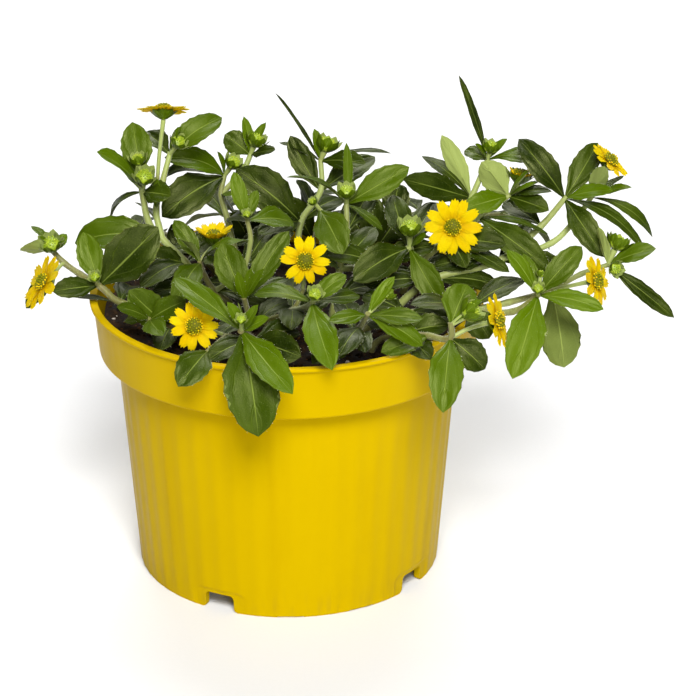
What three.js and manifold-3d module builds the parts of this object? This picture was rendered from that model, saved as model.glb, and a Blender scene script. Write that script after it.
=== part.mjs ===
import * as THREE from "three";
import { mergeVertices } from "three/addons/utils/BufferGeometryUtils.js";
import Module from "manifold-3d";

// A creeping zinnia (Sanvitalia procumbens) in a 12 cm nursery pot, in millimetres, +Z up.
// The plant is laid out around the pot's axis, with the ground at Z 0 and the viewer at -Y.

const wasm = await Module();
wasm.setup();

// Driving sizes of the pot
const rim_radius = 60;
const pot_height = 87.3;
const wall = 1.3;
const collar_height = 17;
const collar_top_radius = 58.9;
const collar_foot_radius = 57.4;
const body_top_radius = 52.2;
const foot_radius = 46.6;
const base_plate_height = 6;
const base_plate = 1.2;
const foot_ring = 2.2;
const round_sides = 40;

// Driving sizes of the soil and of the clearance between pieces that touch
const gap = 0.3;
const soil_level = 80;
const soil_roughness = 0.9;
const root_depth = 8;

// Driving sizes of the plant
const blade_thickness = 0.6;
const leaf_trough = 0.22;
const broad_leaf = 11;
const narrow_leaf = 7;
const stem_sides = 5;
const bud_sides = 5;
const long_span = 18;
const stem_end = 0.9;
const leaf_start = 0.55;
const cup_radius = 2.4;
const cup_height = 3;
const plate_radius = 3;
const ray_reach = 7.8;
const ray_thickness = 0.6;
const disc_radius = 2.5;
const disc_height = 2.2;

const toward_viewer = new THREE.Vector3(0, -0.92, 0.39);
const upward = new THREE.Vector3(0, 0, 1);

const potted_zinnia = new THREE.Group();
const leaf_green = new THREE.MeshStandardMaterial({ color: 0x4f6b22, roughness: 0.62, metalness: 0 });
const ray_yellow = new THREE.MeshStandardMaterial({ color: 0xfbd304, roughness: 0.55, metalness: 0 });
const disc_olive = new THREE.MeshStandardMaterial({ color: 0x7d7a12, roughness: 0.8, metalness: 0 });
const pot_yellow = new THREE.MeshStandardMaterial({ color: 0xe8c400, roughness: 0.35, metalness: 0 });
const soil_brown = new THREE.MeshStandardMaterial({ color: 0x2a1f18, roughness: 0.95, metalness: 0 });

// Solids and meshes

function vector(point) {
  return new THREE.Vector3(...point);
}

// A closed triangle mesh becomes a solid once equal points are one and flat triangles are gone
function solid(geometry) {
  const bare = geometry.index ? geometry.toNonIndexed() : geometry;
  const points = new THREE.BufferGeometry();
  points.setAttribute("position", bare.getAttribute("position"));
  const merged = mergeVertices(points, 1e-4);
  const corners = merged.index.array;
  const kept = [];
  for (let i = 0; i < corners.length; i += 3) {
    const [a, b, c] = [corners[i], corners[i + 1], corners[i + 2]];
    if (a !== b && b !== c && c !== a) kept.push(a, b, c);
  }
  return new wasm.Manifold(new wasm.Mesh({
    numProp: 3,
    vertProperties: new Float32Array(merged.getAttribute("position").array),
    triVerts: new Uint32Array(kept),
  }));
}

function triangles(points, faces) {
  const geometry = new THREE.BufferGeometry();
  const flat = faces.flat().flatMap((corner) => points[corner].toArray());
  geometry.setAttribute("position", new THREE.Float32BufferAttribute(flat, 3));
  return geometry;
}

function joined(solids) {
  return solids.reduce((whole, piece) => whole.add(piece));
}

function place(name, shape, material) {
  const mesh_data = shape.getMesh();
  const geometry = new THREE.BufferGeometry();
  geometry.setAttribute("position", new THREE.Float32BufferAttribute(mesh_data.vertProperties, 3));
  geometry.setIndex(new THREE.Uint32BufferAttribute(mesh_data.triVerts, 1));
  geometry.computeVertexNormals();
  const mesh = new THREE.Mesh(geometry, material);
  mesh.name = name;
  potted_zinnia.add(mesh);
}

function seeded(seed) {
  let state = seed;
  return () => {
    state = (state * 1664525 + 1013904223) % 4294967296;
    return state / 4294967296;
  };
}

// Rings of points, each ring with as many points, joined into one closed skin
function skin(rings) {
  const sides = rings[0].length;
  const points = rings.flat();
  const faces = [];
  for (let ring = 0; ring + 1 < rings.length; ring += 1) {
    for (let side = 0; side < sides; side += 1) {
      const a = ring * sides + side;
      const b = ring * sides + (side + 1) % sides;
      faces.push([a, b, b + sides], [a, b + sides, a + sides]);
    }
  }
  const last = (rings.length - 1) * sides;
  for (let side = 1; side + 1 < sides; side += 1) {
    faces.push([0, side + 1, side], [last, last + side, last + side + 1]);
  }
  return triangles(points, faces);
}

// Rings of points round a path, each square to the path there
function tube(points, radii, sides) {
  let normal = new THREE.Vector3(1, 0.3, 0);
  return points.map((point, place_in_path) => {
    const before = points[Math.max(place_in_path - 1, 0)];
    const after = points[Math.min(place_in_path + 1, points.length - 1)];
    const along = after.clone().sub(before).normalize();
    normal = normal.clone().addScaledVector(along, -normal.dot(along)).normalize();
    const across = along.clone().cross(normal);
    return Array.from({ length: sides }, (_, side) => {
      const angle = (2 * Math.PI * side) / sides;
      return point.clone()
        .addScaledVector(normal, radii[place_in_path] * Math.cos(angle))
        .addScaledVector(across, radii[place_in_path] * Math.sin(angle));
    });
  });
}

// A path bends smoothly through its points: a long span gets a point in its middle
function smooth(path) {
  const curve = new THREE.CatmullRomCurve3(path, false, "centripetal");
  const points = [path[0]];
  for (let span = 1; span < path.length; span += 1) {
    if (path[span].distanceTo(path[span - 1]) > long_span) {
      points.push(curve.getPoint((span - 0.5) / (path.length - 1)));
    }
    points.push(path[span]);
  }
  return points;
}

// A round stalk along a smooth path, from one thickness to another; it ends a little past its last node
function stalk(path, thick, thin, extra = 0) {
  const points = smooth(path);
  const [last, previous] = [points[points.length - 1], points[points.length - 2]];
  last.add(last.clone().sub(previous).setLength(stem_end));
  const radii = points.map((_, step) => (thick + ((thin - thick) * step) / (points.length - 1)) / 2 + extra);
  return solid(skin(tube(points, radii, stem_sides)));
}

// A thin blade along an arched midline. Its outline is a list of shares of the length with the
// share of the width there; its rows of points are alike above and below.
function blade({ from, to, facing, wide, arch, outline, columns, trough }) {
  const along = to.clone().sub(from);
  const axis = along.clone().normalize();
  const up = facing.clone().addScaledVector(axis, -facing.dot(axis)).normalize();
  const side = axis.clone().cross(up);
  const points = [];
  outline.forEach(([share, width]) => {
    const middle = from.clone().addScaledVector(along, share)
      .addScaledVector(up, 4 * arch * share * (1 - share));
    const slope = along.clone().addScaledVector(up, 4 * arch * (1 - 2 * share)).normalize();
    const normal = side.clone().cross(slope);
    const half = (width * wide) / 2;
    columns.forEach((column) => {
      const top = middle.clone().addScaledVector(side, column * half)
        .addScaledVector(normal, trough * half * Math.abs(column));
      points.push(top, top.clone().addScaledVector(normal, -blade_thickness));
    });
  });
  const across = columns.length;
  const top = (row, column) => 2 * (row * across + column);
  const faces = [];
  for (let row = 0; row + 1 < outline.length; row += 1) {
    for (let column = 0; column + 1 < across; column += 1) {
      const [a, b] = [top(row, column), top(row, column + 1)];
      const [d, c] = [top(row + 1, column), top(row + 1, column + 1)];
      faces.push([a, b, c], [a, c, d], [a + 1, c + 1, b + 1], [a + 1, d + 1, c + 1]);
    }
    const [left, left_next] = [top(row, 0), top(row + 1, 0)];
    const [right, right_next] = [top(row, across - 1), top(row + 1, across - 1)];
    faces.push([left, left_next, left_next + 1], [left, left_next + 1, left + 1]);
    faces.push([right, right_next + 1, right_next], [right, right + 1, right_next + 1]);
  }
  const last = outline.length - 1;
  for (let column = 0; column + 1 < across; column += 1) {
    const [a, b] = [top(0, column), top(0, column + 1)];
    const [c, d] = [top(last, column), top(last, column + 1)];
    faces.push([a, a + 1, b + 1], [a, b + 1, b], [c, d, d + 1], [c, d + 1, c + 1]);
  }
  return solid(triangles(points, faces));
}

const broad_outline = [[0, 0], [0.16, 0.42], [0.48, 1], [0.8, 0.72], [1, 0]];
const slim_outline = [[0, 0], [0.36, 0.94], [0.72, 0.8], [1, 0]];
const bract_outline = [[0, 0], [0.45, 1], [1, 0]];
const simple_outline = [[0, 0], [0.5, 1.1], [1, 0]];

// A leafy stem: its stalks, leaves, bracts and buds are one solid, and its blooms are their own

class LeafyStem {
  constructor(name) {
    this.name = name;
    this.solids = [];
    this.roots = [];
    this.blooms = [];
  }

  // The path of a stalk that comes out of the soil at (x, y)
  static rooted(x, y, ...path) {
    return [[x, y, soil_level - root_depth], [x, y, soil_level + 2], ...path];
  }

  stem(path, thick, thin) {
    const points = path.map(vector);
    this.solids.push(stalk(points, thick, thin));
    if (path[0][2] < soil_level) this.roots.push(stalk(points, thick, thin, gap));
  }

  // front turns the upper face from the sky (0) to the viewer (1), or to the back (-1). A simple leaf
  // stands low in the plant, where the others hide most of it, and has fewer points in its outline.
  leaf(from, to, { wide, front = 0.3, arch = 1.5, flat = wide < narrow_leaf, simple = false }) {
    const facing = upward.clone().multiplyScalar(1 - Math.abs(front)).addScaledVector(toward_viewer, front);
    const [node, tip] = [vector(from), vector(to)];
    this.solids.push(blade({
      from: node.clone().add(tip.clone().sub(node).setLength(leaf_start)), to: tip, facing, wide, arch,
      outline: simple ? simple_outline : wide < broad_leaf ? slim_outline : broad_outline,
      columns: flat || simple ? [-1, 1] : [-1, 0, 1],
      trough: flat || simple ? 0 : leaf_trough,
    }));
  }

  bract(from, to, { wide = 3.5, front = 0.3, arch = 0.5 } = {}) {
    const facing = upward.clone().multiplyScalar(1 - Math.abs(front)).addScaledVector(toward_viewer, front);
    const [node, tip] = [vector(from), vector(to)];
    this.solids.push(blade({
      from: node.clone().add(tip.clone().sub(node).setLength(leaf_start)), to: tip, facing, wide, arch,
      outline: bract_outline, columns: [-1, 1], trough: 0,
    }));
  }

  // Two leaves that face each other across a node; turn is in degrees round the upright
  pair(at, turn, { long = 17, wide = 8, rise = 0.2, front = 0.25, arch = 2 } = {}) {
    [turn, turn + 180].forEach((degrees) => {
      const angle = (degrees * Math.PI) / 180;
      const [x, y, z] = at;
      const to = [x + long * Math.cos(angle), y + long * Math.sin(angle), z + long * rise];
      this.leaf(at, to, { wide, front, arch, simple: true });
    });
  }

  // A round green bud on a short stalk from a node
  bud(from, at, radius) {
    const [node, middle] = [vector(from), vector(at)];
    const axis = middle.clone().sub(node).normalize();
    const profile = [[-0.9, 0.5], [-0.1, 1], [0.85, 0.5]];
    const points = [node, ...profile.map(([up]) => middle.clone().addScaledVector(axis, up * radius))];
    const radii = [0.6, ...profile.map(([, across]) => across * radius)];
    this.solids.push(solid(skin(tube(points, radii, bud_sides))));
  }

  // A bloom: a green cup on its stalk, a whorl of yellow rays over it and a domed disc on top
  bloom(from, at, towards, { reach = ray_reach, rays = 11, rise = 0.12, via = null, thick = 1.2 } = {}) {
    const [middle, facing] = [vector(at), vector(towards).normalize()];
    const cup = [-1, -0.7, 0].map((share) => middle.clone().addScaledVector(facing, share * cup_height));
    const path = smooth([vector(from), ...(via ? [vector(via)] : []), cup[0]]);
    const radii = [...path.map(() => thick / 2), 0.75 * cup_radius, cup_radius];
    this.solids.push(solid(skin(tube([...path, cup[1], cup[2]], radii, stem_sides))));
    const turn = new THREE.Quaternion().setFromUnitVectors(upward, facing);
    const onto = (point) => point.applyQuaternion(turn).add(middle);
    this.blooms.push({ onto, reach, rays, rise, seed: 900 + Math.round(at[0]) });
  }

  // The rays of a bloom grow out of one thin plate, each with its own lift and length
  rays_of({ onto, reach, rays, rise, seed }) {
    const draw = seeded(seed);
    const tops = [new THREE.Vector3(0, 0, gap + ray_thickness)];
    const step = (2 * Math.PI) / rays;
    for (let ray = 0; ray < rays; ray += 1) {
      const angle = step * ray;
      const outward = new THREE.Vector3(Math.cos(angle), Math.sin(angle), 0);
      const sideways = new THREE.Vector3(-Math.sin(angle), Math.cos(angle), 0);
      const length = reach * (0.93 + 0.1 * draw()) - plate_radius;
      const lift = rise + 0.16 * (draw() - 0.5);
      const edge = outward.clone().applyAxisAngle(upward, -step / 2).multiplyScalar(plate_radius);
      tops.push(edge.setZ(gap + ray_thickness));
      [[0.62, -1.3], [1, -0.75], [1, 0.75], [0.62, 1.3]].forEach(([share, half]) => {
        const out = plate_radius + share * length * Math.cos(lift);
        const up = gap + ray_thickness + share * length * Math.sin(lift);
        tops.push(outward.clone().multiplyScalar(out).addScaledVector(sideways, half).setZ(up));
      });
    }
    const points = tops.flatMap((top) => [top, top.clone().setZ(top.z - ray_thickness)]);
    const faces = [];
    const both = (a, b, c) => faces.push([a, b, c].map((i) => 2 * i), [a, c, b].map((i) => 2 * i + 1));
    const wall = (a, b) => faces.push([2 * a, 2 * a + 1, 2 * b + 1], [2 * a, 2 * b + 1, 2 * b]);
    for (let ray = 0; ray < rays; ray += 1) {
      const [root, broad, tip, far_tip, far_broad] = [1, 2, 3, 4, 5].map((i) => 5 * ray + i);
      const next_root = 5 * ((ray + 1) % rays) + 1;
      both(0, root, next_root);
      both(root, broad, far_broad);
      both(root, far_broad, next_root);
      both(broad, tip, far_tip);
      both(broad, far_tip, far_broad);
      wall(root, broad);
      wall(broad, tip);
      wall(tip, far_tip);
      wall(far_tip, far_broad);
      wall(far_broad, next_root);
    }
    return solid(triangles(points.map(onto), faces));
  }

  // The disc's florets are a relief: every other point of its dome stands out
  disc_of({ onto }) {
    const around = 8;
    const foot = 2 * gap + ray_thickness;
    const rings = [0, 28, 56, 78].map((degrees, level) => {
      const angle = (degrees * Math.PI) / 180;
      return ringOf(around, disc_radius * Math.cos(angle), 0).map((point, side) => {
        const bump = level > 0 && (side + level) % 2 === 0 ? 1.1 : 0.95;
        return onto(point.multiplyScalar(bump).setZ(foot + disc_height * Math.sin(angle) * bump));
      });
    });
    return solid(skin(rings));
  }

  build() {
    place(this.name, joined(this.solids), leaf_green);
    this.blooms.forEach((bloom) => {
      bloom_count += 1;
      const name = `bloom_${String(bloom_count).padStart(2, "0")}`;
      place(`${name}_rays`, this.rays_of(bloom), ray_yellow);
      place(`${name}_disc`, this.disc_of(bloom), disc_olive);
    });
  }
}

let bloom_count = 0;

function ringOf(sides, radius, height) {
  return Array.from({ length: sides }, (_, side) => {
    const angle = (2 * Math.PI * side) / sides;
    return new THREE.Vector3(radius * Math.cos(angle), radius * Math.sin(angle), height);
  });
}

const leafy_stems = [];

function leafyStem() {
  const name = `leafy_stem_${String(leafy_stems.length + 1).padStart(2, "0")}`;
  const stem = new LeafyStem(name);
  leafy_stems.push(stem);
  return stem;
}

const { rooted } = LeafyStem;

// Far left: it leans over the rim and forks into a bloom and a bud that look outward
{
  const plant = leafyStem();
  const low = [-50, -13, 89];
  const fork = [-56, -12, 94];
  const head = [-67, -6, 99];
  const end = [-70, -5, 102];
  plant.stem(rooted(-30, -8, low, fork, [-62, -8, 96], head, end), 2.6, 1.6);
  plant.leaf(fork, [-61, -4, 108], { wide: 8, front: 0.9, arch: -0.5 });
  plant.leaf(fork, [-38, -10, 112], { wide: 14, front: 0.9, arch: 2 });
  plant.leaf(fork, [-69.5, -18, 94.5], { wide: 7, front: 0.7, arch: 0.5 });
  plant.leaf(fork, [-42, -3, 93], { wide: 7, front: 0.1 });
  plant.leaf(low, [-47, 1, 88.5], { wide: 8, front: 0.5, arch: 1.5 });
  plant.leaf(low, [-70, 0, 86], { wide: 3.5, front: 0, arch: 0.5 });
  plant.bud(fork, [-57, -15, 98], 1.6);
  plant.leaf(head, [-79, -6, 84], { wide: 6, front: 0.6 });
  plant.leaf(end, [-66, -3, 107], { wide: 4, front: 0.4, arch: 0.5 });
  plant.leaf(end, [-77, 0, 108.5], { wide: 4, front: -0.1, arch: 1 });
  plant.leaf(end, [-79, -13, 106.3], { wide: 6, front: -0.6, arch: 1 });
  plant.bud(end, [-70.5, -7, 105.5], 2.9);
  plant.bract(end, [-66, -9, 107]);
  plant.bract(end, [-74, -8, 108]);
  plant.bloom(head, [-71.8, -16, 96.4], [-0.77, -0.3, 0.56], { via: [-69, -11, 98], reach: 9.2 });
}

// Upright left: two tall shoots with crowded buds, and a bloom on a thin bare stalk
{
  const plant = leafyStem();
  const low = [-31, 4, 95];
  const fork = [-38, 8, 101];
  const neck = [-42, 10, 105];
  const node = [-44, 12, 115];
  const top = [-44, 11, 120];
  plant.stem(rooted(-24, 6, [-27, 5, 88], low, fork, neck, node, top), 2.6, 1.8);
  plant.pair([-27, 5, 88], 170, { rise: -0.1, front: 0.5 });
  plant.pair(low, 50, { long: 20, rise: -0.1, front: 0.5 });
  plant.leaf(top, [-47, 19, 135], { wide: 9.5, front: 0.9, arch: -1 });
  plant.leaf(node, [-57, 6, 130], { wide: 9, front: 0.3, arch: 1.5 });
  plant.leaf(node, [-54.5, 16, 102], { wide: 6.5, front: 0.2, arch: 3.5 });
  plant.leaf(node, [-35, 6, 116], { wide: 8, front: 0.7, arch: 0.5 });
  plant.leaf(fork, [-65, 10, 99], { wide: 12, front: 0.6, arch: 4.5 });
  plant.leaf(low, [-43, -1, 99], { wide: 8, front: 0.7, arch: 1 });
  plant.bud(top, [-45, 11, 126], 2.3);
  plant.bud(node, [-43, 8, 121.5], 2.8);
  plant.bract(node, [-48, 8, 121]);
  const elbow = [-40, 12, 109];
  const bend = [-38, 16, 117];
  const crown = [-36, 20, 124];
  plant.stem([fork, elbow, bend, crown], 2, 1.6);
  plant.leaf(crown, [-20, 26, 134], { wide: 8.5, front: 0.7, arch: 3.5 });
  plant.leaf(crown, [-44, 27, 129], { wide: 7, front: 0.4, arch: 1 });
  plant.bract(elbow, [-39, 10, 120]);
  plant.bract(crown, [-32, 18, 134]);
  plant.bud(crown, [-33, 18, 129], 2.4);
  plant.bloom(elbow, [-37.4, 18, 138.4], [0, 0.5, 0.87], { via: [-39, 15, 124], reach: 8.3, rays: 12 });
}

// Mid left: a cup-shaped bloom, and a slim young shoot beside it
{
  const plant = leafyStem();
  const low = [-22, -2, 88];
  const node = [-26, -4, 98];
  plant.stem(rooted(-16, -2, low, [-25, -2, 93], node), 2.4, 1.6);
  plant.pair(low, 170, { long: 20, rise: -0.1, front: 0.5 });
  plant.leaf(node, [-32, -10, 108], { wide: 4, front: -0.1 });
  plant.leaf(node, [-34, 1, 110], { wide: 6, front: 0.6 });
  plant.leaf(node, [-16, -12, 109], { wide: 5, front: 0.3 });
  plant.leaf(node, [-33, -23, 92], { wide: 8, front: 0.7, arch: 3 });
  plant.bloom(node, [-22, 0, 104.4], [0, 0.05, 1], { via: [-24.8, -2.8, 100], reach: 7.4, rise: 0.7 });
  const elbow = [-14, 0, 93];
  const neck = [-11, 2, 103];
  const head = [-12, 3, 109];
  plant.stem([low, elbow, neck, head], 2, 1.4);
  plant.pair(elbow, 60, { long: 20, rise: 0.5 });
  plant.leaf(head, [-16, 8, 123], { wide: 5, front: 0.6, arch: 1 });
  plant.leaf(head, [-9, 8, 117], { wide: 4, front: 0.5, arch: 1 });
  plant.leaf(neck, [-22, -7, 104], { wide: 4, front: 0, arch: 1 });
  plant.leaf(head, [2, 11, 105], { wide: 8, front: 0.5, arch: 2 });
  plant.bud(head, [-12, 1, 112], 1.3);
}

// Back left: two buds high over drooping dark leaves
{
  const plant = leafyStem();
  const foot = [-17, 25, 92];
  const low = [-19, 28, 100];
  const fork = [-21, 31, 107];
  const node = [-20, 34, 112];
  plant.stem(rooted(-14, 20, foot, low, fork, node), 2.4, 1.6);
  plant.pair(foot, 20, { long: 20, rise: 0.1, front: 0.5 });
  plant.pair(low, 120, { long: 20, rise: 0.3, front: 0.5 });
  plant.bud(node, [-17, 33, 117], 2.5);
  plant.leaf(node, [-38, 26, 121], { wide: 8.5, front: 0.6, arch: 3.5 });
  plant.leaf(node, [-40, 40, 109], { wide: 7, front: 0.3, arch: 4 });
  plant.leaf(node, [-39, 22, 103], { wide: 12, front: 0.8, arch: 3 });
  plant.leaf(fork, [-14, 22, 110], { wide: 5, front: 0.3, arch: 1 });
  plant.bract(node, [-22, 32, 121], { wide: 2.5 });
  const elbow = [-14, 38, 113];
  const crown = [-12, 40, 117];
  plant.stem([fork, elbow, crown], 1.8, 1.6);
  plant.bud(crown, [-10, 40, 122], 2.8);
  plant.leaf(crown, [-20, 42, 123], { wide: 8, front: 0.8, arch: 0.5 });
  plant.leaf(crown, [-4, 33, 121], { wide: 5, front: 0.5, arch: 0.5 });
  plant.bract(crown, [-14, 42, 129]);
  plant.bract(crown, [-7, 42, 127]);
}

// Centre back: a bud with long leaves that are seen edge-on, over one broad dark leaf
{
  const plant = leafyStem();
  const foot = [3, 17, 92];
  const low = [4, 20, 102];
  const fork = [10, 29, 109];
  const node = [10, 34, 117];
  plant.stem(rooted(2, 14, foot, low, fork, node), 2.4, 1.6);
  plant.pair(foot, 10, { long: 20, rise: -0.1, front: 0.5 });
  plant.pair(low, 50, { long: 20, rise: 0.1, front: 0.5 });
  plant.bud(node, [12, 35, 122.5], 3.2);
  plant.leaf(node, [-4, 38, 138], { wide: 3, front: 0, arch: 1 });
  plant.leaf(node, [32, 34, 119.5], { wide: 4, front: 0, arch: 2 });
  plant.leaf(node, [-3, 40, 121], { wide: 4, front: 0, arch: 1 });
  plant.leaf(fork, [0.5, 38, 124], { wide: 7.5, front: 0.9, arch: -0.5 });
  plant.leaf(node, [24, 26, 119], { wide: 7, front: 0.6, arch: 1 });
  plant.leaf(fork, [27, 41, 116], { wide: 9, front: 0.5, arch: 1 });
  plant.leaf(low, [-16, 24, 118], { wide: 12.5, front: 0.8, arch: 3 });
  plant.bract(node, [8, 36, 127]);
}

// Front left: a young rosette whose broadest leaf hangs over the rim, and a bloom beside it
{
  const plant = leafyStem();
  const low = [-9, -42, 89];
  const node = [-12, -52, 96];
  const side = [-17, -41, 90];
  plant.stem(rooted(-8, -34, low, node), 2.4, 2);
  const knot = [-22, -50, 89];
  plant.stem([low, side], 1.6, 1.4);
  plant.stem([side, knot], 1.4, 1.2);
  plant.leaf(node, [-32, -36, 106], { wide: 7, front: 0.6, arch: 2 });
  plant.leaf(node, [-7, -70, 71], { wide: 16, front: 0.9, arch: 4 });
  plant.leaf(node, [3, -76, 87], { wide: 9.5, front: 0.8, arch: 2 });
  plant.pair(low, 40, { rise: -0.1, front: 0.5 });
  plant.leaf(low, [5, -52, 88], { wide: 10, front: 0.8, arch: 1.5 });
  plant.leaf(knot, [-30, -63, 83.5], { wide: 9.5, front: 0.8, arch: 2.5 });
  plant.bract(node, [-16, -54, 106], { front: 0.5 });
  plant.bract(node, [-13, -52, 105], { wide: 2.5, front: 0 });
  plant.bract(node, [-7, -56, 106], { wide: 3.4, front: 0.6 });
  plant.bract(node, [-4, -56, 102], { wide: 4, front: 0.6 });
  plant.bud(node, [-12, -55, 101], 1.5);
  plant.bloom(side, [-26, -43, 94], [-0.1, -0.95, 0.3], { via: [-22, -39, 91], reach: 7.6 });
}

// Low left: leaves that lie on the soil just inside the rim
{
  const plant = leafyStem();
  const low = [-34, -26, 86];
  const node = [-40, -29, 90];
  plant.stem(rooted(-28, -22, low, node), 2, 1.6);
  plant.pair(low, 80, { long: 14, rise: -0.1 });
  plant.leaf(node, [-47, -22, 88], { wide: 7, front: 0.6, arch: 1 });
  plant.leaf(low, [-46, -28, 99], { wide: 10, front: 0.9, arch: 1 });
  plant.leaf(node, [-49, -36, 97], { wide: 5, front: 0.6, arch: 1 });
  plant.leaf(node, [-29, -31, 97], { wide: 7, front: 0.8, arch: 1 });
  plant.leaf(node, [-35, -46, 92], { wide: 7, front: 0.8, arch: 1 });
}

// Centre: a bloom that faces the viewer, and two shoots that reach forward
{
  const plant = leafyStem();
  const low = [-9, -20, 85];
  const node = [-12, -26, 95];
  plant.stem(rooted(-6, -16, low, [-11, -24, 90], node), 2.4, 1.6);
  plant.pair(low, 50, { rise: 0.1 });
  plant.leaf(node, [-19, -18, 110], { wide: 9.5, front: 0.9, arch: 1 });
  plant.leaf(node, [1, -20, 99], { wide: 5, front: 0.3 });
  plant.leaf(node, [1, -16, 113], { wide: 7.5, front: 0.8, arch: 1 });
  plant.bract(node, [-10, -28, 106], { wide: 3.2, front: 0.7 });
  plant.bract(node, [-6, -31, 107], { wide: 3.4, front: 0.6 });
  plant.bract(node, [-14, -28, 105], { wide: 3.2, front: 0.7 });
  const fork = [2, -24, 91];
  const stalk_foot = [5, -24, 97];
  const elbow = [6, -34, 96];
  const crown = [8, -40, 100];
  plant.stem([low, fork, stalk_foot], 1.8, 1.4);
  plant.pair(fork, 90, { long: 20, rise: 0.1 });
  plant.stem([fork, elbow, crown], 1.8, 1.6);
  plant.bloom(stalk_foot, [6, -27, 108], [0, -0.95, 0.3], { reach: 7.6, rays: 10, via: [6, -22, 104] });
  plant.bud(crown, [9, -43, 104], 2);
  plant.leaf(crown, [18, -36, 107], { wide: 6, front: 0.6, arch: 1 });
  plant.leaf(crown, [14, -64, 89], { wide: 9.5, front: 0.9, arch: 2 });
  plant.leaf(crown, [-9, -34, 100], { wide: 8, front: 0.2, arch: 2 });
  plant.leaf(crown, [22, -30, 98], { wide: 6, front: 0.5, arch: 1 });
}

// Centre right: a budding shoot at the back and a thick round bud before it
{
  const plant = leafyStem();
  const foot = [15, -3, 87];
  const low = [16, -1, 95];
  const fork = [18, 0, 106];
  const node = [18, 4, 114];
  const young = [10, 2, 113];
  plant.stem(rooted(14, -4, foot, low, fork, node), 2.6, 1.6);
  plant.pair(foot, 40, { rise: -0.1, front: 0.5 });
  plant.pair(low, 50, { rise: 0.5, front: 0.5 });
  plant.stem([fork, young], 1.4, 1.2);
  plant.bud(node, [18, 3, 118.5], 2.6);
  plant.leaf(node, [0, 0, 124], { wide: 6, front: -0.1, arch: 3 });
  plant.leaf(node, [37, 8, 124.5], { wide: 8.5, front: 0.8, arch: 1 });
  plant.leaf(young, [17, -12, 104], { wide: 10.5, front: 0.9, arch: 2 });
  plant.leaf(node, [29, 0, 107], { wide: 4, front: 0.2, arch: 1 });
  plant.leaf(node, [18, 20, 128], { wide: 3, front: 0.2, arch: 0.5 });
  plant.leaf(fork, [26, 14, 116], { wide: 8, front: 0.6, arch: 1 });
  plant.bud(young, [8, 1, 116], 1.3);
  const elbow = [28, -3, 97];
  const crown = [37, -4, 103];
  plant.stem([low, elbow, crown], 2, 2);
  plant.bud(crown, [37, -5, 110], 3.2);
  plant.leaf(crown, [47, -14, 88], { wide: 8, front: 0.9, arch: 2 });
  plant.leaf(crown, [42, -9, 109], { wide: 4, front: 0.5, arch: 0.5 });
  plant.pair(elbow, 10, { rise: 0.3, front: 0.5 });
  plant.leaf(crown, [20, -16, 97], { wide: 10.5, front: 0.8, arch: 2 });
  plant.leaf(crown, [32, 12, 114], { wide: 8, front: 0.6, arch: 1 });
  plant.leaf(crown, [46, 16, 110], { wide: 8, front: 0.5, arch: 1 });
}

// Front centre: a low rosette with a ruffled bud
{
  const plant = leafyStem();
  const low = [20, -34, 88];
  const neck = [22, -42, 93];
  const node = [24, -47, 99];
  plant.stem(rooted(18, -26, low, neck, node), 2.2, 1.6);
  plant.pair(low, 100, { long: 20, rise: 0.1 });
  plant.leaf(low, [8, -50, 85], { wide: 9, front: 0.8, arch: 1.5 });
  plant.pair(neck, 70, { long: 18, rise: -0.1, front: 0.5 });
  plant.leaf(node, [13, -54, 100], { wide: 5, front: 0.6, arch: 1 });
  plant.leaf(node, [40, -50, 99], { wide: 6, front: 0.5, arch: 1 });
  plant.leaf(node, [40, -51, 91], { wide: 7, front: 0.6, arch: 2 });
  plant.bud(node, [30, -43, 104], 2);
  plant.bract(node, [32, -42, 109], { wide: 4, front: 0.5 });
}

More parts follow.
